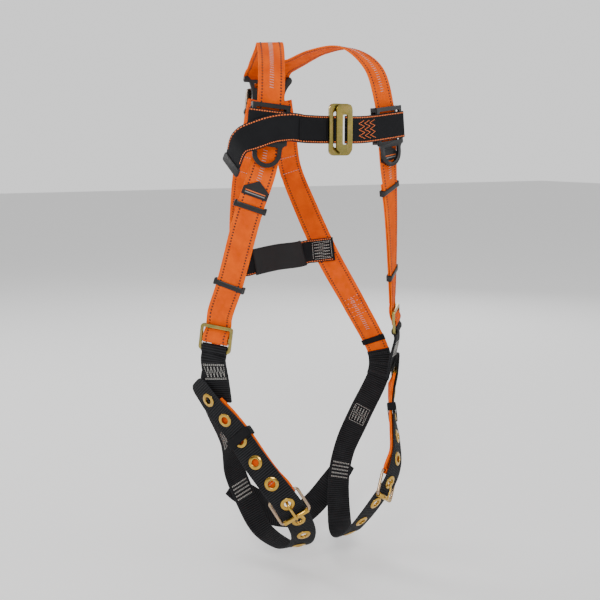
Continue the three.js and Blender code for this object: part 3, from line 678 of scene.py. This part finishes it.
class Strap:
    """A route between two values of t, measured along its length s in millimetres."""

    def __init__(self, route, t0=0.0, t1=1.0, lift=0.0, waves=0.0):
        n = max(60, int(len(route) * abs(t1 - t0) * 30))
        self.route = route
        self.ts = np.linspace(t0, t1, n + 1)
        c, self.x, _, self.o = frames(route, self.ts)
        self.c = c + self.o * lift
        self.s = run(self.c)
        self.length = self.s[-1]
        self.waves = waves
        self.phase = np.random.default_rng(1).uniform(0, 6.28, 3)

    def at(self, t):
        return float(np.interp(t, self.ts, self.s))

    def point(self, index):
        """The s of a row of the route's table."""
        return self.at(at_point(self.route, index))

    def mid(self, a, s):
        return np.stack([np.interp(s, self.s, a[:, k]) for k in range(3)], -1)

    def place(self, s, u, h):
        """Points on the strap: s along, u across and h out, all in millimetres."""
        s, u, h = (np.asarray(v, float) for v in (s, u, h))
        if self.waves:
            p = self.phase
            swell = np.sin(s / 23 + p[0])
            swell += 0.7 * np.sin(s / 13.7 + p[1] + u / 19) + 0.6 * np.sin(s / 41 + p[2] - u / 14)
            ends = np.clip(np.minimum(s, self.length - s) / 12, 0, 1)
            h = h + self.waves * 0.4 * swell * ends
        x, o = unit(self.mid(self.x, s)), unit(self.mid(self.o, s))
        return self.mid(self.c, s) + x * u[..., None] + o * h[..., None]


def section(width, thick, round_=0.9, count=9, crown=0.0):
    """A webbing section: (u, h) points once round, from the lower left."""
    half = width / 2
    r = min(thick / 2, round_)
    arc = np.linspace(-math.pi / 2, math.pi / 2, 6)
    us = np.linspace(-half + r, half - r, count)
    lower = [(u, -thick / 2) for u in us]
    right = [(half - r + r * math.cos(a), (thick / 2) * math.sin(a)) for a in arc[1:-1]]
    upper = [(u, thick / 2) for u in us[::-1]]
    left = [(-half + r - r * math.cos(a), (thick / 2) * math.sin(a)) for a in arc[::-1][1:-1]]
    pts = np.array(lower + right + upper + left)
    pts[:, 1] += crown * (1 - (2 * pts[:, 0] / width) ** 2)
    return pts


def quads(rows, k, start=0, wrap=True):
    """The faces that join each row of k points to the next one."""
    faces = []
    for i in range(start, start + rows * k, k):
        for j in range(k if wrap else k - 1):
            a, b = i + j, i + (j + 1) % k
            faces.append((a, b, b + k, a + k))
    return faces


def caps(first, last, k):
    """The two end faces of a tube whose first and last rows of k points start there."""
    return [tuple(range(first, first + k))[::-1], tuple(range(last, last + k))]


def turned_over(faces):
    return [(f[0], f[3], f[2], f[1]) for f in faces]


def double_wall(rows, k):
    """A wall between two blocks of rows + 1 rows of k points, where the second block faces the other way."""
    n = (rows + 1) * k
    faces = quads(rows, k) + turned_over(quads(rows, k, n))
    for j in range(k):
        a, b = j, (j + 1) % k
        faces.append((a, a + n, b + n, b))
        a, b = rows * k + a, rows * k + b
        faces.append((a, b, b + n, a + n))
    return faces


def add_ribbon(build, strap, mat, width=WEB, thick=PLY, step=3.2, crown=0.0, s0=0.0, s1=None, corner=0.0):
    """A length of webbing. The two corners at its far end have the radius corner."""
    s1 = strap.length if s1 is None else s1
    rows = max(3, int((s1 - s0) / step))
    ss = np.linspace(s0, s1, rows + 1)
    if corner:
        rounding = np.sin(np.linspace(0, math.pi / 2, 9))
        ss = np.append(ss[ss < s1 - corner - 1], s1 - corner + corner * rounding)
        rows = len(ss) - 1
    sec = section(width, thick, crown=crown)
    k = len(sec)
    S, U, H = np.repeat(ss, k), np.tile(sec[:, 0], rows + 1), np.tile(sec[:, 1], rows + 1)
    if corner:
        into = np.clip(corner - (s1 - S), 0, corner)
        U = U * (1 - (corner - np.sqrt(corner ** 2 - into ** 2)) / (width / 2))
    uv = np.stack([U / 10, S / 10], 1)
    build.add(strap.place(S, U, H), quads(rows, k) + caps(0, rows * k, k), mat, uv)


def add_stitches(build, strap, marks, mat, side=1, thick=PLY, wide=None):
    """Each mark is (s0, u0, s1, u1): a short raised thread from one point to the other."""
    marks = np.asarray(marks, float)
    h = np.full(len(marks), side * (thick / 2))
    p0 = strap.place(marks[:, 0], marks[:, 1], h)
    p1 = strap.place(marks[:, 2], marks[:, 3], h)
    o = unit(strap.mid(strap.o, (marks[:, 0] + marks[:, 2]) / 2)) * side
    d = unit(p1 - p0)
    w = unit(np.cross(o, d)) * (wide or THREAD_WIDE[mat]) / 2
    ring = []
    for p, pull in ((p0, THREAD_PULL), (p1, -THREAD_PULL)):
        foot, top = p - o * THREAD_SUNK, p + d * pull + o * THREAD_TALL
        ring += [foot + w, foot - w, top - w * THREAD_TOP, top + w * THREAD_TOP]
    V = np.stack(ring, 1).reshape(-1, 3)
    faces = []
    for i in range(len(marks)):
        b = 8 * i
        faces += [(b + k, b + (k + 1) % 4, b + (k + 1) % 4 + 4, b + k + 4) for k in range(4)]
        faces += [(b + 3, b + 2, b + 1, b), (b + 4, b + 5, b + 6, b + 7)]
    uv = np.repeat(np.stack([marks[:, 1] / 10, marks[:, 0] / 10], 1), 8, axis=0)
    build.add(V, [f[::-1] for f in faces], mat, uv)


def both_sides(build, strap, marks, mat):
    for side in (1, -1):
        add_stitches(build, strap, marks, mat, side)


def grey(build, strap, marks, side=1, thick=PLY):
    add_stitches(build, strap, marks, "thread_grey", side, thick, FINE_GREY)


def dashes(s0, s1, u, pitch=4.6, dash=3.1):
    """A line of threads along the strap."""
    s = np.arange(s0 + 2, s1 - dash, pitch)
    return [(a, u, a + dash, u) for a in s]


def ladder(s0, s1, u, wide=7.5, pitch=4.2):
    """A column of short slanted threads across the strap."""
    s = np.arange(s0 + 2, s1 - 2, pitch)
    return [(a, u - wide / 2, a + 0.9, u + wide / 2) for a in s]


def across(s, u0, u1, pitch=4.4, dash=3.0):
    """A line of threads across the strap."""
    u = np.arange(u0, u1 - dash * 0.5, pitch)
    return [(s, a, s, a + dash) for a in u]


def dashed(p, q, count, part):
    """Threads on the line between two (s, u) points: each covers part of its share."""
    p, q = np.array(p), np.array(q)
    return [(*(p + (q - p) * k / count), *(p + (q - p) * (k + part) / count)) for k in range(count)]


def line(p, q, dash=3.2, gap=0.7):
    pitch = dash + gap
    return dashed(p, q, max(1, round(math.dist(p, q) / pitch)), dash / pitch)


def to_and_fro(s0, s1, us, count, part):
    """Threads from s0 to s1 and back, with one leg from each u to the next."""
    marks = []
    for i in range(len(us) - 1):
        a, b = (s0, s1) if i % 2 == 0 else (s1, s0)
        marks += dashed((a, us[i]), (b, us[i + 1]), count, part)
    return marks


def stitched_box(s0, s1, u0, u1, legs):
    """A sewn box: its outline, and threads to and fro inside it."""
    marks = across(s0, u0, u1, 3.5, 2.8) + across(s1, u0, u1, 3.5, 2.8)
    marks += dashes(s0, s1, u0, 3.5, 2.8) + dashes(s0, s1, u1, 3.5, 2.8)
    us = np.linspace(u0 + 2, u1 - 2, legs + 1)
    return marks + to_and_fro(s0 + 3, s1 - 3, us, int((s1 - s0 - 6) / 3.6), 0.78)


def edges(strap, s0=0.0, s1=None):
    """The two lines of edge threads on the wide webbing."""
    u, pitch, dash = 15.8, 5.0, 2.8
    s1 = strap.length if s1 is None else s1
    return dashes(s0, s1, u, pitch, dash) + dashes(s0, s1, -u, pitch, dash)


def selvedge(build, strap, inset=0):
    """The orange threads along both edges of the fine black webbing."""
    for side in (1, -1):
        for u in (-19.8, 19.8):
            add_stitches(build, strap, dashes(2, strap.length - inset, u, 4.2, 2.9), "thread_orange", side)


def webbing(strap, mat, **options):
    build = Build()
    add_ribbon(build, strap, mat, **options)
    return build


def eye(bar, radius, top, first, last):
    """A route round a bar that lies across the strap, at radius from its axis, or top on the far side."""
    route = []
    for a in np.radians(np.linspace(first, last, 25)):
        c, s = math.cos(a), math.sin(a)
        route.append([0, bar + (top if c > 0 else radius) * c, radius * s, 0, c, s])
    return route


# ---- hard pieces
def rounded_copy(node, mat, bevel, body="harness", segments=3):
    """A copy of a CAD node with its coplanar facets joined and its edges rounded."""
    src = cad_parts[node]
    bm = bmesh.new()
    bm.from_mesh(src.data)
    bmesh.ops.remove_doubles(bm, verts=bm.verts, dist=2e-6)
    bmesh.ops.dissolve_limit(bm, angle_limit=math.radians(1.0), verts=bm.verts, edges=bm.edges)
    mesh = bpy.data.meshes.new(node + "_shape")
    bm.to_mesh(mesh)
    bm.free()
    mesh.materials.clear()
    mesh.materials.append(M[mat])
    obj = new_object(node + "_shape", mesh)
    mod = obj.modifiers.new("round", "BEVEL")
    mod.width = bevel * MM
    mod.segments = segments
    mod.limit_method = "ANGLE"
    mod.angle_limit = BEVEL_ANGLE
    obj.modifiers.new("normals", "WEIGHTED_NORMAL").keep_sharp = True
    bake(obj)
    for p in obj.data.polygons:
        p.use_smooth = True
        p.material_index = 0
    return settle(obj, body, [node])


def bake(obj):
    """Applies the object's modifiers to its mesh."""
    bpy.context.view_layer.update()
    graph = bpy.context.evaluated_depsgraph_get()
    mesh = bpy.data.meshes.new_from_object(obj.evaluated_get(graph))
    old = obj.data
    obj.modifiers.clear()
    obj.data = mesh
    bpy.data.meshes.remove(old)


def add_tube(build, points, radius, mat, closed=False, sides=16, squash=(1.0, 1.0), *, m):
    """A tube through points given in the frame m, with one radius or one for each point."""
    P = np.asarray(points, float)
    n = len(P)
    radius = np.full(n, radius) if np.isscalar(radius) else np.asarray(radius, float)
    T = unit(np.roll(P, -1, 0) - np.roll(P, 1, 0) if closed else np.gradient(P, axis=0))
    N = np.tile((0.0, 0.0, 1.0), (n, 1))
    N = unit(N - T * np.sum(N * T, 1, keepdims=True))
    B = np.cross(T, N)
    a = np.linspace(0, 2 * math.pi, sides, endpoint=False)[None, :, None]
    spokes = squash[0] * np.cos(a) * N[:, None] + squash[1] * np.sin(a) * B[:, None]
    V = (P[:, None] + radius[:, None, None] * spokes).reshape(-1, 3)
    if closed:
        faces = [tuple(v % len(V) for v in f) for f in quads(n, sides)]
    else:
        faces = quads(n - 1, sides) + caps(0, (n - 1) * sides, sides)
    put(build, V, faces, mat, m)


def add_lathe(build, profile, mat, m, sides, axis="z"):
    """A closed (radius, height) profile turned round the local axis."""
    prof = np.asarray(profile, float)
    k = len(prof)
    a = np.linspace(0, 2 * math.pi, sides, endpoint=False)
    V = np.zeros((sides, k, 3))
    V[:, :, 0] = np.cos(a)[:, None] * prof[:, 0]
    V[:, :, 1] = np.sin(a)[:, None] * prof[:, 0]
    V[:, :, 2] = prof[:, 1]
    if axis == "x":
        V = V[:, :, [2, 0, 1]]
    V = V.reshape(-1, 3)
    put(build, V, [tuple(v % len(V) for v in f[::-1]) for f in quads(sides, k)], mat, m)


def put(build, V, faces, mat, m, uv=None):
    """Adds a shell that is given in the frame m."""
    build.add(V @ m[:3, :3].T + m[:3, 3], faces, mat, uv)


def round_rect(w, h, r, n=6):
    """Points once round a rounded rectangle of half sizes w and h."""
    pts = []
    for cx, cy, a0 in ((w - r, h - r, 0), (-w + r, h - r, 90), (-w + r, -h + r, 180), (w - r, -h + r, 270)):
        for k in range(n + 1):
            a = math.radians(a0 + 90 * k / n)
            pts.append((cx + r * math.cos(a), cy + r * math.sin(a), 0))
    return np.array(pts)


def outward(obj):
    """Turns every shell of the object's mesh to face out."""
    bm = bmesh.new()
    bm.from_mesh(obj.data)
    bmesh.ops.recalc_face_normals(bm, faces=bm.faces)
    bm.to_mesh(obj.data)
    bm.free()
    return obj


def add_panel(build, strap, rows, low, high, mat, count=8):
    """A thin panel on a strap: each row is (s, u0, u1), and the panel fills low to high above the middle."""
    rows = [r for r in rows if r[2] - r[1] > 0.05]
    n = len(rows)
    V, UV = [], []
    for h in (low, high):
        for s, a, b in rows:
            us = np.linspace(a, b, count + 1)
            V.append(strap.place(np.full(count + 1, s), us, np.full(count + 1, h)))
            UV.append(np.stack([us / 10, np.full(count + 1, s / 10)], 1))
    V, UV = np.vstack(V), np.vstack(UV)
    k = count + 1
    top = n * k
    faces = turned_over(quads(n - 1, k, 0, False)) + quads(n - 1, k, top, False)
    rim = (list(range(k)) + [i * k + count for i in range(1, n)]
           + [(n - 1) * k + j for j in range(count - 1, -1, -1)] + [i * k for i in range(n - 2, 0, -1)])
    for a, b in zip(rim, rim[1:] + rim[:1]):
        faces.append((a, b, top + b, top + a))
    build.add(V, faces, mat, UV, smooth=False)


def rect_rows(s0, s1, u0, u1):
    return [(s, u0, u1) for s in np.linspace(s0, s1, max(2, int(abs(s1 - s0) / 3.0)))]


def add_loop(build, m, half, low, high, height, wall, mat, bulge=0.0, r=1.6):
    """A band round straps: its inner face runs at half across and from low to high out of them."""
    deep = (high - low) / 2
    p = round_rect(half, deep, min(r, deep - 0.05), 4)
    inner = []
    for q0, q1 in zip(p, np.roll(p, -1, 0)):
        n = max(1, int(np.linalg.norm(q1 - q0) / 5))
        inner += [q0 + (q1 - q0) * k / n for k in range(n)]
    inner = np.array(inner)
    n = len(inner)
    x, z = inner[:, 0], inner[:, 1]
    out = [np.sign(x) * (abs(x) > half - r), np.sign(z) * (abs(z) > deep - r), np.zeros(n)]
    outer = inner + unit(np.stack(out, 1)) * wall
    L = run(np.vstack([inner, inner[:1]]))[:-1]
    ys = np.array([-0.5, -0.46, -0.25, 0, 0.25, 0.46, 0.5]) * height
    V, UV = [], []
    for which, pts in (("in", inner), ("out", outer)):
        for y in ys:
            q = pts
            if which == "out" and abs(y) > 0.49 * height:
                q = inner + (outer - inner) * 0.6
            elif which == "out":
                q = q + (outer - inner) / wall * bulge * (1 - (2 * y / height) ** 2)
            V.append(np.stack([q[:, 0], np.full(n, y), q[:, 1] + (low + high) / 2], 1))
            UV.append(np.stack([np.full(n, y / 10), L / 10], 1))
    put(build, np.vstack(V), double_wall(len(ys) - 1, n), mat, m, np.vstack(UV))


def punch(obj, stations, radius, half=6.0, sides=28):
    """Round holes through a strap at each station."""
    a = np.linspace(0, 2 * math.pi, sides, endpoint=False)
    ring = np.stack([radius * np.cos(a), radius * np.sin(a)], 1)
    V = np.vstack([np.column_stack([ring, np.full(sides, z)]) for z in (-half, half)])
    build = Build()
    for m in stations:
        put(build, V, quads(1, sides) + caps(0, sides, sides), "brass", m)
    cutter = outward(build.object("cutter"))
    mod = obj.modifiers.new("holes", "BOOLEAN")
    mod.operation = "DIFFERENCE"
    mod.solver = "EXACT"
    mod.object = cutter
    bake(obj)
    mesh = cutter.data
    bpy.data.objects.remove(cutter)
    bpy.data.meshes.remove(mesh)


SIDES = ("left", "right")


def pair(name, build, nodes, body="harness", fix=False):
    """The same piece on both sides: the right one is the mirror image. Bodies and nodes may hold {side}."""
    made = []
    for side in SIDES:
        obj = build.object(f"{name}_{side}", mirror=side == "right")
        if fix:
            outward(obj)
        made.append(settle(obj, body.format(side=side), [n.format(side=side) for n in nodes]))
    return made


# ---- orange body webbing
over = Strap(OVER)
b = webbing(over, "orange", step=2.6)
both_sides(b, over, edges(over), "thread_black")
grey(b, over, ladder(over.point(FOLD + 4.25), over.length - 26, 0))
grey(b, over, ladder(over.point(FOLD + 1.62), over.point(FOLD + 2.5), 2))
pair("shoulder_webbing", b, ["front_strap_{side}", "shoulder_strap_{side}"])

tail = Strap(TAIL)
b = webbing(tail, "orange", step=3)
both_sides(b, tail, edges(tail), "thread_black")
add_stitches(b, tail, across(tail.length - 4, -20, 20), "thread_black", -1)
pair("adjuster_tail", b, ["strap_tail_{side}"])

# The back strap has a second layer down to its hem at step_s, and the wear mark is just below that.
back = Strap(DOWN, 0, HIP_FROM + 0.002, waves=0.8)
layer = Strap(DOWN, 0, HIP_FROM + 0.002, lift=2.05, waves=0.8)
tag_s = back.point(2.3)
step_s = tag_s - 13
bar_s, hem_s = back.point(4.9), back.point(5.45)
HEM = (-18, 18, 5.2, 3.2)
b = webbing(back, "orange", step=3)
add_ribbon(b, layer, "orange", thick=1.5, s0=1.5, s1=step_s)
for side in (1, -1):
    add_stitches(b, back, edges(back, s0=step_s + 24 if side > 0 else 0), "thread_black", side)
add_stitches(b, layer, edges(layer, s0=2, s1=step_s), "thread_black", 1, 1.5)
grey(b, layer, ladder(4, step_s - 14, -1), 1, 1.5)
for k in range(3):
    s, u = step_s - 9 + 0.8 * k, -15 + 8 * k
    add_stitches(b, layer, line((s, u), (s, u + 6)), "thread_grey", 1, 1.5)
add_stitches(b, layer, across(step_s - 6, *HEM), "thread_grey", 1, 1.5)
for s in (step_s - 5, step_s - 34):
    add_stitches(b, back, across(s, *HEM), "thread_grey", -1)
grey(b, back, ladder(step_s + 26, hem_s, -1))
grey(b, back, ladder(bar_s, hem_s + 12, 0), -1)
for k in range(5):
    grey(b, back, across(bar_s + 9 * k, -14 + 2 * (k % 2), 14, 6.5, 3), -1)
pair("back_webbing", b, ["back_strap_{side}"])

b = Build()
add_panel(b, back, rect_rows(tag_s - 11, tag_s + 11, -21, 21), 1.25, 1.9, "yellow_tape")
for u0, u1 in ((-19.5, -18.9), (18.9, 19.5)):
    add_panel(b, back, rect_rows(tag_s - 9.5, tag_s + 9.5, u0, u1), 1.8, 2.0, "black_tape", 1)
for s in (tag_s - 9.5, tag_s + 8.9):
    add_panel(b, back, rect_rows(s, s + 0.6, -19.5, 19.5), 1.8, 2.0, "black_tape")
for s, reach in ((tag_s - 5.2, 9), (tag_s - 1.2, 12), (tag_s + 3.4, 14)):
    add_panel(b, back, rect_rows(s, s + 1.7, -reach, reach), 1.8, 2.0, "black_tape")
pair("wear_mark", b, ["wear_tag_{side}"])

# ---- dorsal ring, its webbing and the pad
b = webbing(Strap(CROSSING, lift=-1.15), "orange", width=46, thick=2.1, step=1.2)
cross_high = Strap(CROSSING, lift=1.15)
add_ribbon(b, cross_high, "orange", width=47.5, thick=2.1, step=1.2, crown=0.25)
for u in (-17.5, 4.5, 17.8):
    add_stitches(b, cross_high, dashes(0, cross_high.length, u), "thread_black", 1, 2.1)
grey(b, cross_high, ladder(2, cross_high.length - 2, -6), 1, 2.1)
settle(b.object("ring_webbing"), "harness", ["dorsal_crossing"])
rounded_copy("dorsal_ring", "steel", 1.75, body="dorsal_ring", segments=4)
rounded_copy("dorsal_pad", "plastic", 1.7, segments=4)

# ---- chest strap
chest_left = Strap(CHEST_LEFT)
b = webbing(chest_left, "fine_black", step=1.6)
selvedge(b, chest_left)
for back_by in (66, 53, 40):
    base = chest_left.length - back_by
    marks = to_and_fro(base, base + 13, np.linspace(-15, 15, 7), 4, 0.8)
    add_stitches(b, chest_left, marks, "thread_orange", 1, wide=1.2)
settle(b.object("chest_webbing_left"), "chest", ["chest_strap_left"])

chest_right = Strap(CHEST_RIGHT)
b = webbing(chest_right, "fine_black", step=1.6)
selvedge(b, chest_right)
settle(b.object("chest_webbing_right"), "chest", ["chest_strap_right"])

chest_tail = Strap(CHEST_TAIL)
b = webbing(chest_tail, "fine_black", step=1.2)
selvedge(b, chest_tail, 6)
settle(b.object("chest_tail_webbing"), "chest", ["chest_tail"])
rounded_copy("chest_tail_cap", "plastic", 1.2, body="chest")
rounded_copy("chest_buckle_ring", "zinc", 2.2, body="chest", segments=5)
rounded_copy("chest_buckle_tab", "zinc", 1.3, body="chest", segments=4)
b = Build()
add_loop(b, shift(CHEST, -50, 0.4, 0), 23.8, -10.2, -1.0, 34, 1.4, "elastic", bulge=0.3)
settle(outward(b.object("chest_elastic")), "chest", ["chest_keeper"])
for side in SIDES:
    rounded_copy(f"chest_slider_{side}", "plastic", 0.9, body="chest")

# ---- keepers on the front straps
KEEPER_HEIGHT = 9
for side in SIDES:
    for kind, index in (("upper_keeper", 1.42 if side == "left" else 1.12), ("lower_keeper", -0.02)):
        m = station(OVER, at_point(OVER, FOLD + index))
        b = Build()
        add_loop(b, m, 24.4, -6.0, 1.95, KEEPER_HEIGHT, 1.5, "plastic", bulge=0.25)
        for x in (-25.2, 25.2):
            add_loop(b, shift(m, x, 0, 0), 1.6, -6.0, 1.95, KEEPER_HEIGHT + 1.4, 1.1, "plastic")
        obj = b.object(f"{kind}_band_{side}", mirror=side == "right")
        settle(outward(obj), f"{kind}_{side}", [f"{kind}_{side}"])

# ---- torso adjusters and their black loops
for side in SIDES:
    rounded_copy(f"torso_adjuster_{side}", "zinc", 1.3)
    rounded_copy(f"friction_bar_{side}", "zinc", 0.9, body=f"friction_bar_{side}")
b = Build()
for lift in (-1.25, 1.25):
    add_ribbon(b, Strap(TORSO_LOOP, lift=lift), "black", thick=2.3, step=3)
for lift, side in ((1.25, 1), (-1.25, -1)):
    marks = []
    for u in range(-17, 19, 6):
        marks += line((24, u), (44, u + 4), 3.0) + line((44, u + 4), (24, u + 6), 3.0)
    for s in (20, 22, 46, 48):
        marks += across(s, -19, 19, 3.6, 2.8)
    grey(b, Strap(TORSO_LOOP, lift=lift), marks, side, 2.3)
bar_route = placed(ADJUSTER, eye(LOWER_BAR, 5.6, 8.8, -178, 178))
add_ribbon(b, Strap(bar_route), "black", thick=2.2, step=1.2)
pair("torso_loop_webbing", b, ["torso_loop_{side}"])

# ---- hips
band = Strap(DOWN, HIP_FROM - 0.0145, HIP_FROM - 0.0095, lift=-2.4)
b = webbing(band, "elastic", width=WEB + 3.6, thick=1.2, step=2)
pair("hip_band_tape", b, ["hip_band_{side}"])
b = Build()
for lift, width in ((-2.35, 45.4), (0, 46), (2.35, 45)):
    layer = Strap(DOWN, HIP_FROM, HIP_TO, lift=lift)
    add_ribbon(b, layer, "black", width=width, thick=2.2, step=3)
for lift, side in ((-2.35, -1), (2.35, 1)):
    layer = Strap(DOWN, HIP_FROM, HIP_TO, lift=lift)
    marks = []
    for s in np.linspace(7, layer.length - 7, 5):
        marks += across(s, -18, 18, 4.2, 3.2)
    add_stitches(b, layer, marks, "thread_black", side, 2.2, wide=1.0)
pair("hip_webbing", b, ["hip_wrap_{side}"])

# ---- leg straps
leg = Strap(DOWN, HIP_TO - 0.002, LEG_BOTTOM - 0.0001, waves=0.6)
b = webbing(leg, "black", step=3)
box_s, bar_s = leg.point(9.0), leg.point(10.75)
for side in (1, -1):
    grey(b, leg, stitched_box(box_s - 17, box_s + 17, -15, 15, 9), side)
for k in range(5):
    for s in (bar_s - 14 + 7 * k, bar_s - 12.5 + 7 * k):
        grey(b, leg, across(s, -17, 17, 3.5, 2.9), -1)
pair("leg_webbing", b, ["leg_strap_{side}"])

holes = [station(DOWN, walk(DOWN, FIRST_GROMMET, 45.0 * i)) for i in range(-3, 6)]
b = webbing(Strap(DOWN, LEG_BOTTOM + 0.0001, 1), "black", step=2.6, corner=13.0)
for obj in pair("perforated_webbing", b, []):
    flip = np.diag([-1, 1, 1, 1]) if obj.name.endswith("right") else np.eye(4)
    punch(obj, [flip @ m for m in holes], 7.6)
GROMMET_HALF = [
    (7.4, 1.1), (8.2, 1.15), (12.4, 1.22), (12.5, 1.35), (11.7, 1.85),
    (10.2, 2.45), (8.3, 2.85), (7.1, 2.8), (6.45, 2.45), (6.2, 1.9),
]
b = Build()
for m in holes:
    add_lathe(b, [(r, -z) for r, z in GROMMET_HALF[::-1]] + GROMMET_HALF, "brass", m, 36)
pair("grommets", b, ["grommet_strap_{side}"], fix=True)

b = Build()
for lift, side in ((-1.25, -1), (1.25, 1)):
    ply = Strap(LINING, lift=lift)
    add_ribbon(b, ply, "orange", thick=2.3, step=3, s0=2.5 if side > 0 else 0)
    add_stitches(b, ply, edges(ply, s0=6), "thread_black", side, 2.3)
    for s in (26, 30, 56, 60):
        grey(b, ply, across(s, -17, 17, 4.2, 3.1), side, 2.3)
for x in (-13.6, 13.6):
    strip = Strap(placed(shift(BUCKLE, x, 0, 0), eye(HALF, 4.1, 4.1, 2, 358)))
    add_ribbon(b, strip, "orange", width=17.6, thick=2.1, step=1.2)
pair("leg_lining_webbing", b, ["leg_lining_{side}"])

leg_keeper = station(DOWN, walk(DOWN, FIRST_GROMMET, 140))
b = Build()
add_loop(b, leg_keeper, 24.4, -LINING_DEPTH - 3.9, 3.3, 16, 1.6, "elastic", bulge=0.3)
pair("leg_elastic", b, ["leg_keeper_{side}"], "leg_keeper_{side}", fix=True)

# ---- leg buckles
b = Build()
add_tube(b, round_rect(REACH, HALF, 5.0, 8), WIRE, "wire", closed=True, sides=18, m=BUCKLE)
pair("buckle_wire", b, ["leg_buckle_{side}"], fix=True)
b = Build()
ROLL = [(2.95, -23.9), (4.0, -23.9), (4.4, -23.4), (4.4, 23.4), (4.0, 23.9), (2.95, 23.9)]
add_lathe(b, ROLL, "brass", shift(BUCKLE, 0, -HALF, 0), 28, axis="x")
pair("buckle_roller_tube", b, ["buckle_roller_{side}"], "roller_{side}", fix=True)
b = Build()
COLLAR = [(3.05, -3.9), (4.1, -3.9), (4.4, -3.5), (4.4, 3.5), (4.1, 3.9), (3.05, 3.9)]
add_lathe(b, COLLAR, "brass", shift(BUCKLE, 0, HALF, 0), 28, axis="x")
finger = [[0, HALF - WIRE - 1, 0.6], [0, 11, 1.6], [0, 3, 7], [0, -8, 9.4], [0, -HALF - 4, 7]]
ts = np.linspace(0, 1, 25)
taper = np.interp(ts, [0, 0.5, 0.94, 1], [2.0, 2.0, 1.8, 1.1])
add_tube(b, catmull(finger, ts), taper, "brass", sides=14, squash=(0.9, 1.25), m=BUCKLE)
pair("buckle_pin", b, ["buckle_tongue_{side}"], "tongue_{side}", fix=True)

# ---- lumbar and sub-pelvic straps
lumbar = Strap(LUMBAR)
b = webbing(lumbar, "fine_black", step=2.4)
selvedge(b, lumbar, 2)
for s0 in (5, lumbar.length - 41):
    grey(b, lumbar, stitched_box(s0, s0 + 36, -16, 16, 10), -1)
settle(b.object("lumbar_webbing"), "harness", ["lumbar_strap"])

SLEEVE_FROM, SLEEVE_TO = 12 / 34, 22 / 34
s_a, s_b = lumbar.at(SLEEVE_FROM), lumbar.at(SLEEVE_TO)
rows = max(8, int((s_b - s_a) / 4))
ss = np.linspace(s_a, s_b, rows + 1)
V, UV = [], []
for sec in (section(50.0, 6.0, 2.4, 12), section(47.0, 3.8, 1.4, 12)):
    S, U, H = np.repeat(ss, len(sec)), np.tile(sec[:, 0], rows + 1), np.tile(sec[:, 1], rows + 1)
    V.append(lumbar.place(S, U, H))
    UV.append(np.stack([U / 10, S / 10], 1))
b = Build()
b.add(np.vstack(V), double_wall(rows, len(sec)), "black_tape", np.vstack(UV))
mid = (s_a + s_b) / 2
add_panel(b, lumbar, rect_rows(mid - 34, mid + 34, -13, -5), 2.9, 3.2, "grey_tape")
add_panel(b, lumbar, rect_rows(mid - 34, mid + 34, 1, 5), 2.9, 3.2, "orange_tape")
settle(outward(b.object("lumbar_sleeve")), "harness", ["label_sleeve"])
b = Build()
add_panel(b, lumbar, rect_rows(s_a - 13, s_a - 3, -20, 20), 1.25, 1.6, "white_tape")
settle(outward(b.object("size_tag")), "harness", [])

sub = Strap(SUB_PELVIC)
b = webbing(sub, "black", step=2.8)
for s0 in (5, sub.length - 41):
    grey(b, sub, stitched_box(s0, s0 + 36, -15, 15, 9))
settle(b.object("sub_pelvic_webbing"), "harness", ["sub_pelvic_strap"])

# ---- labels, with a plain generic mark
for side, index in (("left", 2.28), ("right", 1.45)):
    b = Build()
    s0 = over.point(FOLD + index)
    rows = []
    for y in (*np.arange(-11, 2.1, 2.6), *np.arange(3, 16.6, 1.5)):
        reach = 22 - max(0.0, y - 2) * 22 / 15
        rows.append((s0 + y, -reach, reach))
    add_panel(b, over, rows, 1.9, 2.7, "black_tape")
    add_panel(b, over, rect_rows(s0 - 7, s0 - 5.4, -17, 17), 2.6, 2.9, "grey_tape")
    add_panel(b, over, rect_rows(s0 - 3.4, s0 - 1.8, -17, 17), 2.6, 2.9, "orange_tape")
    obj = b.object(f"strap_label_{side}", mirror=side == "right")
    settle(outward(obj), "harness", [f"label_{side}"])
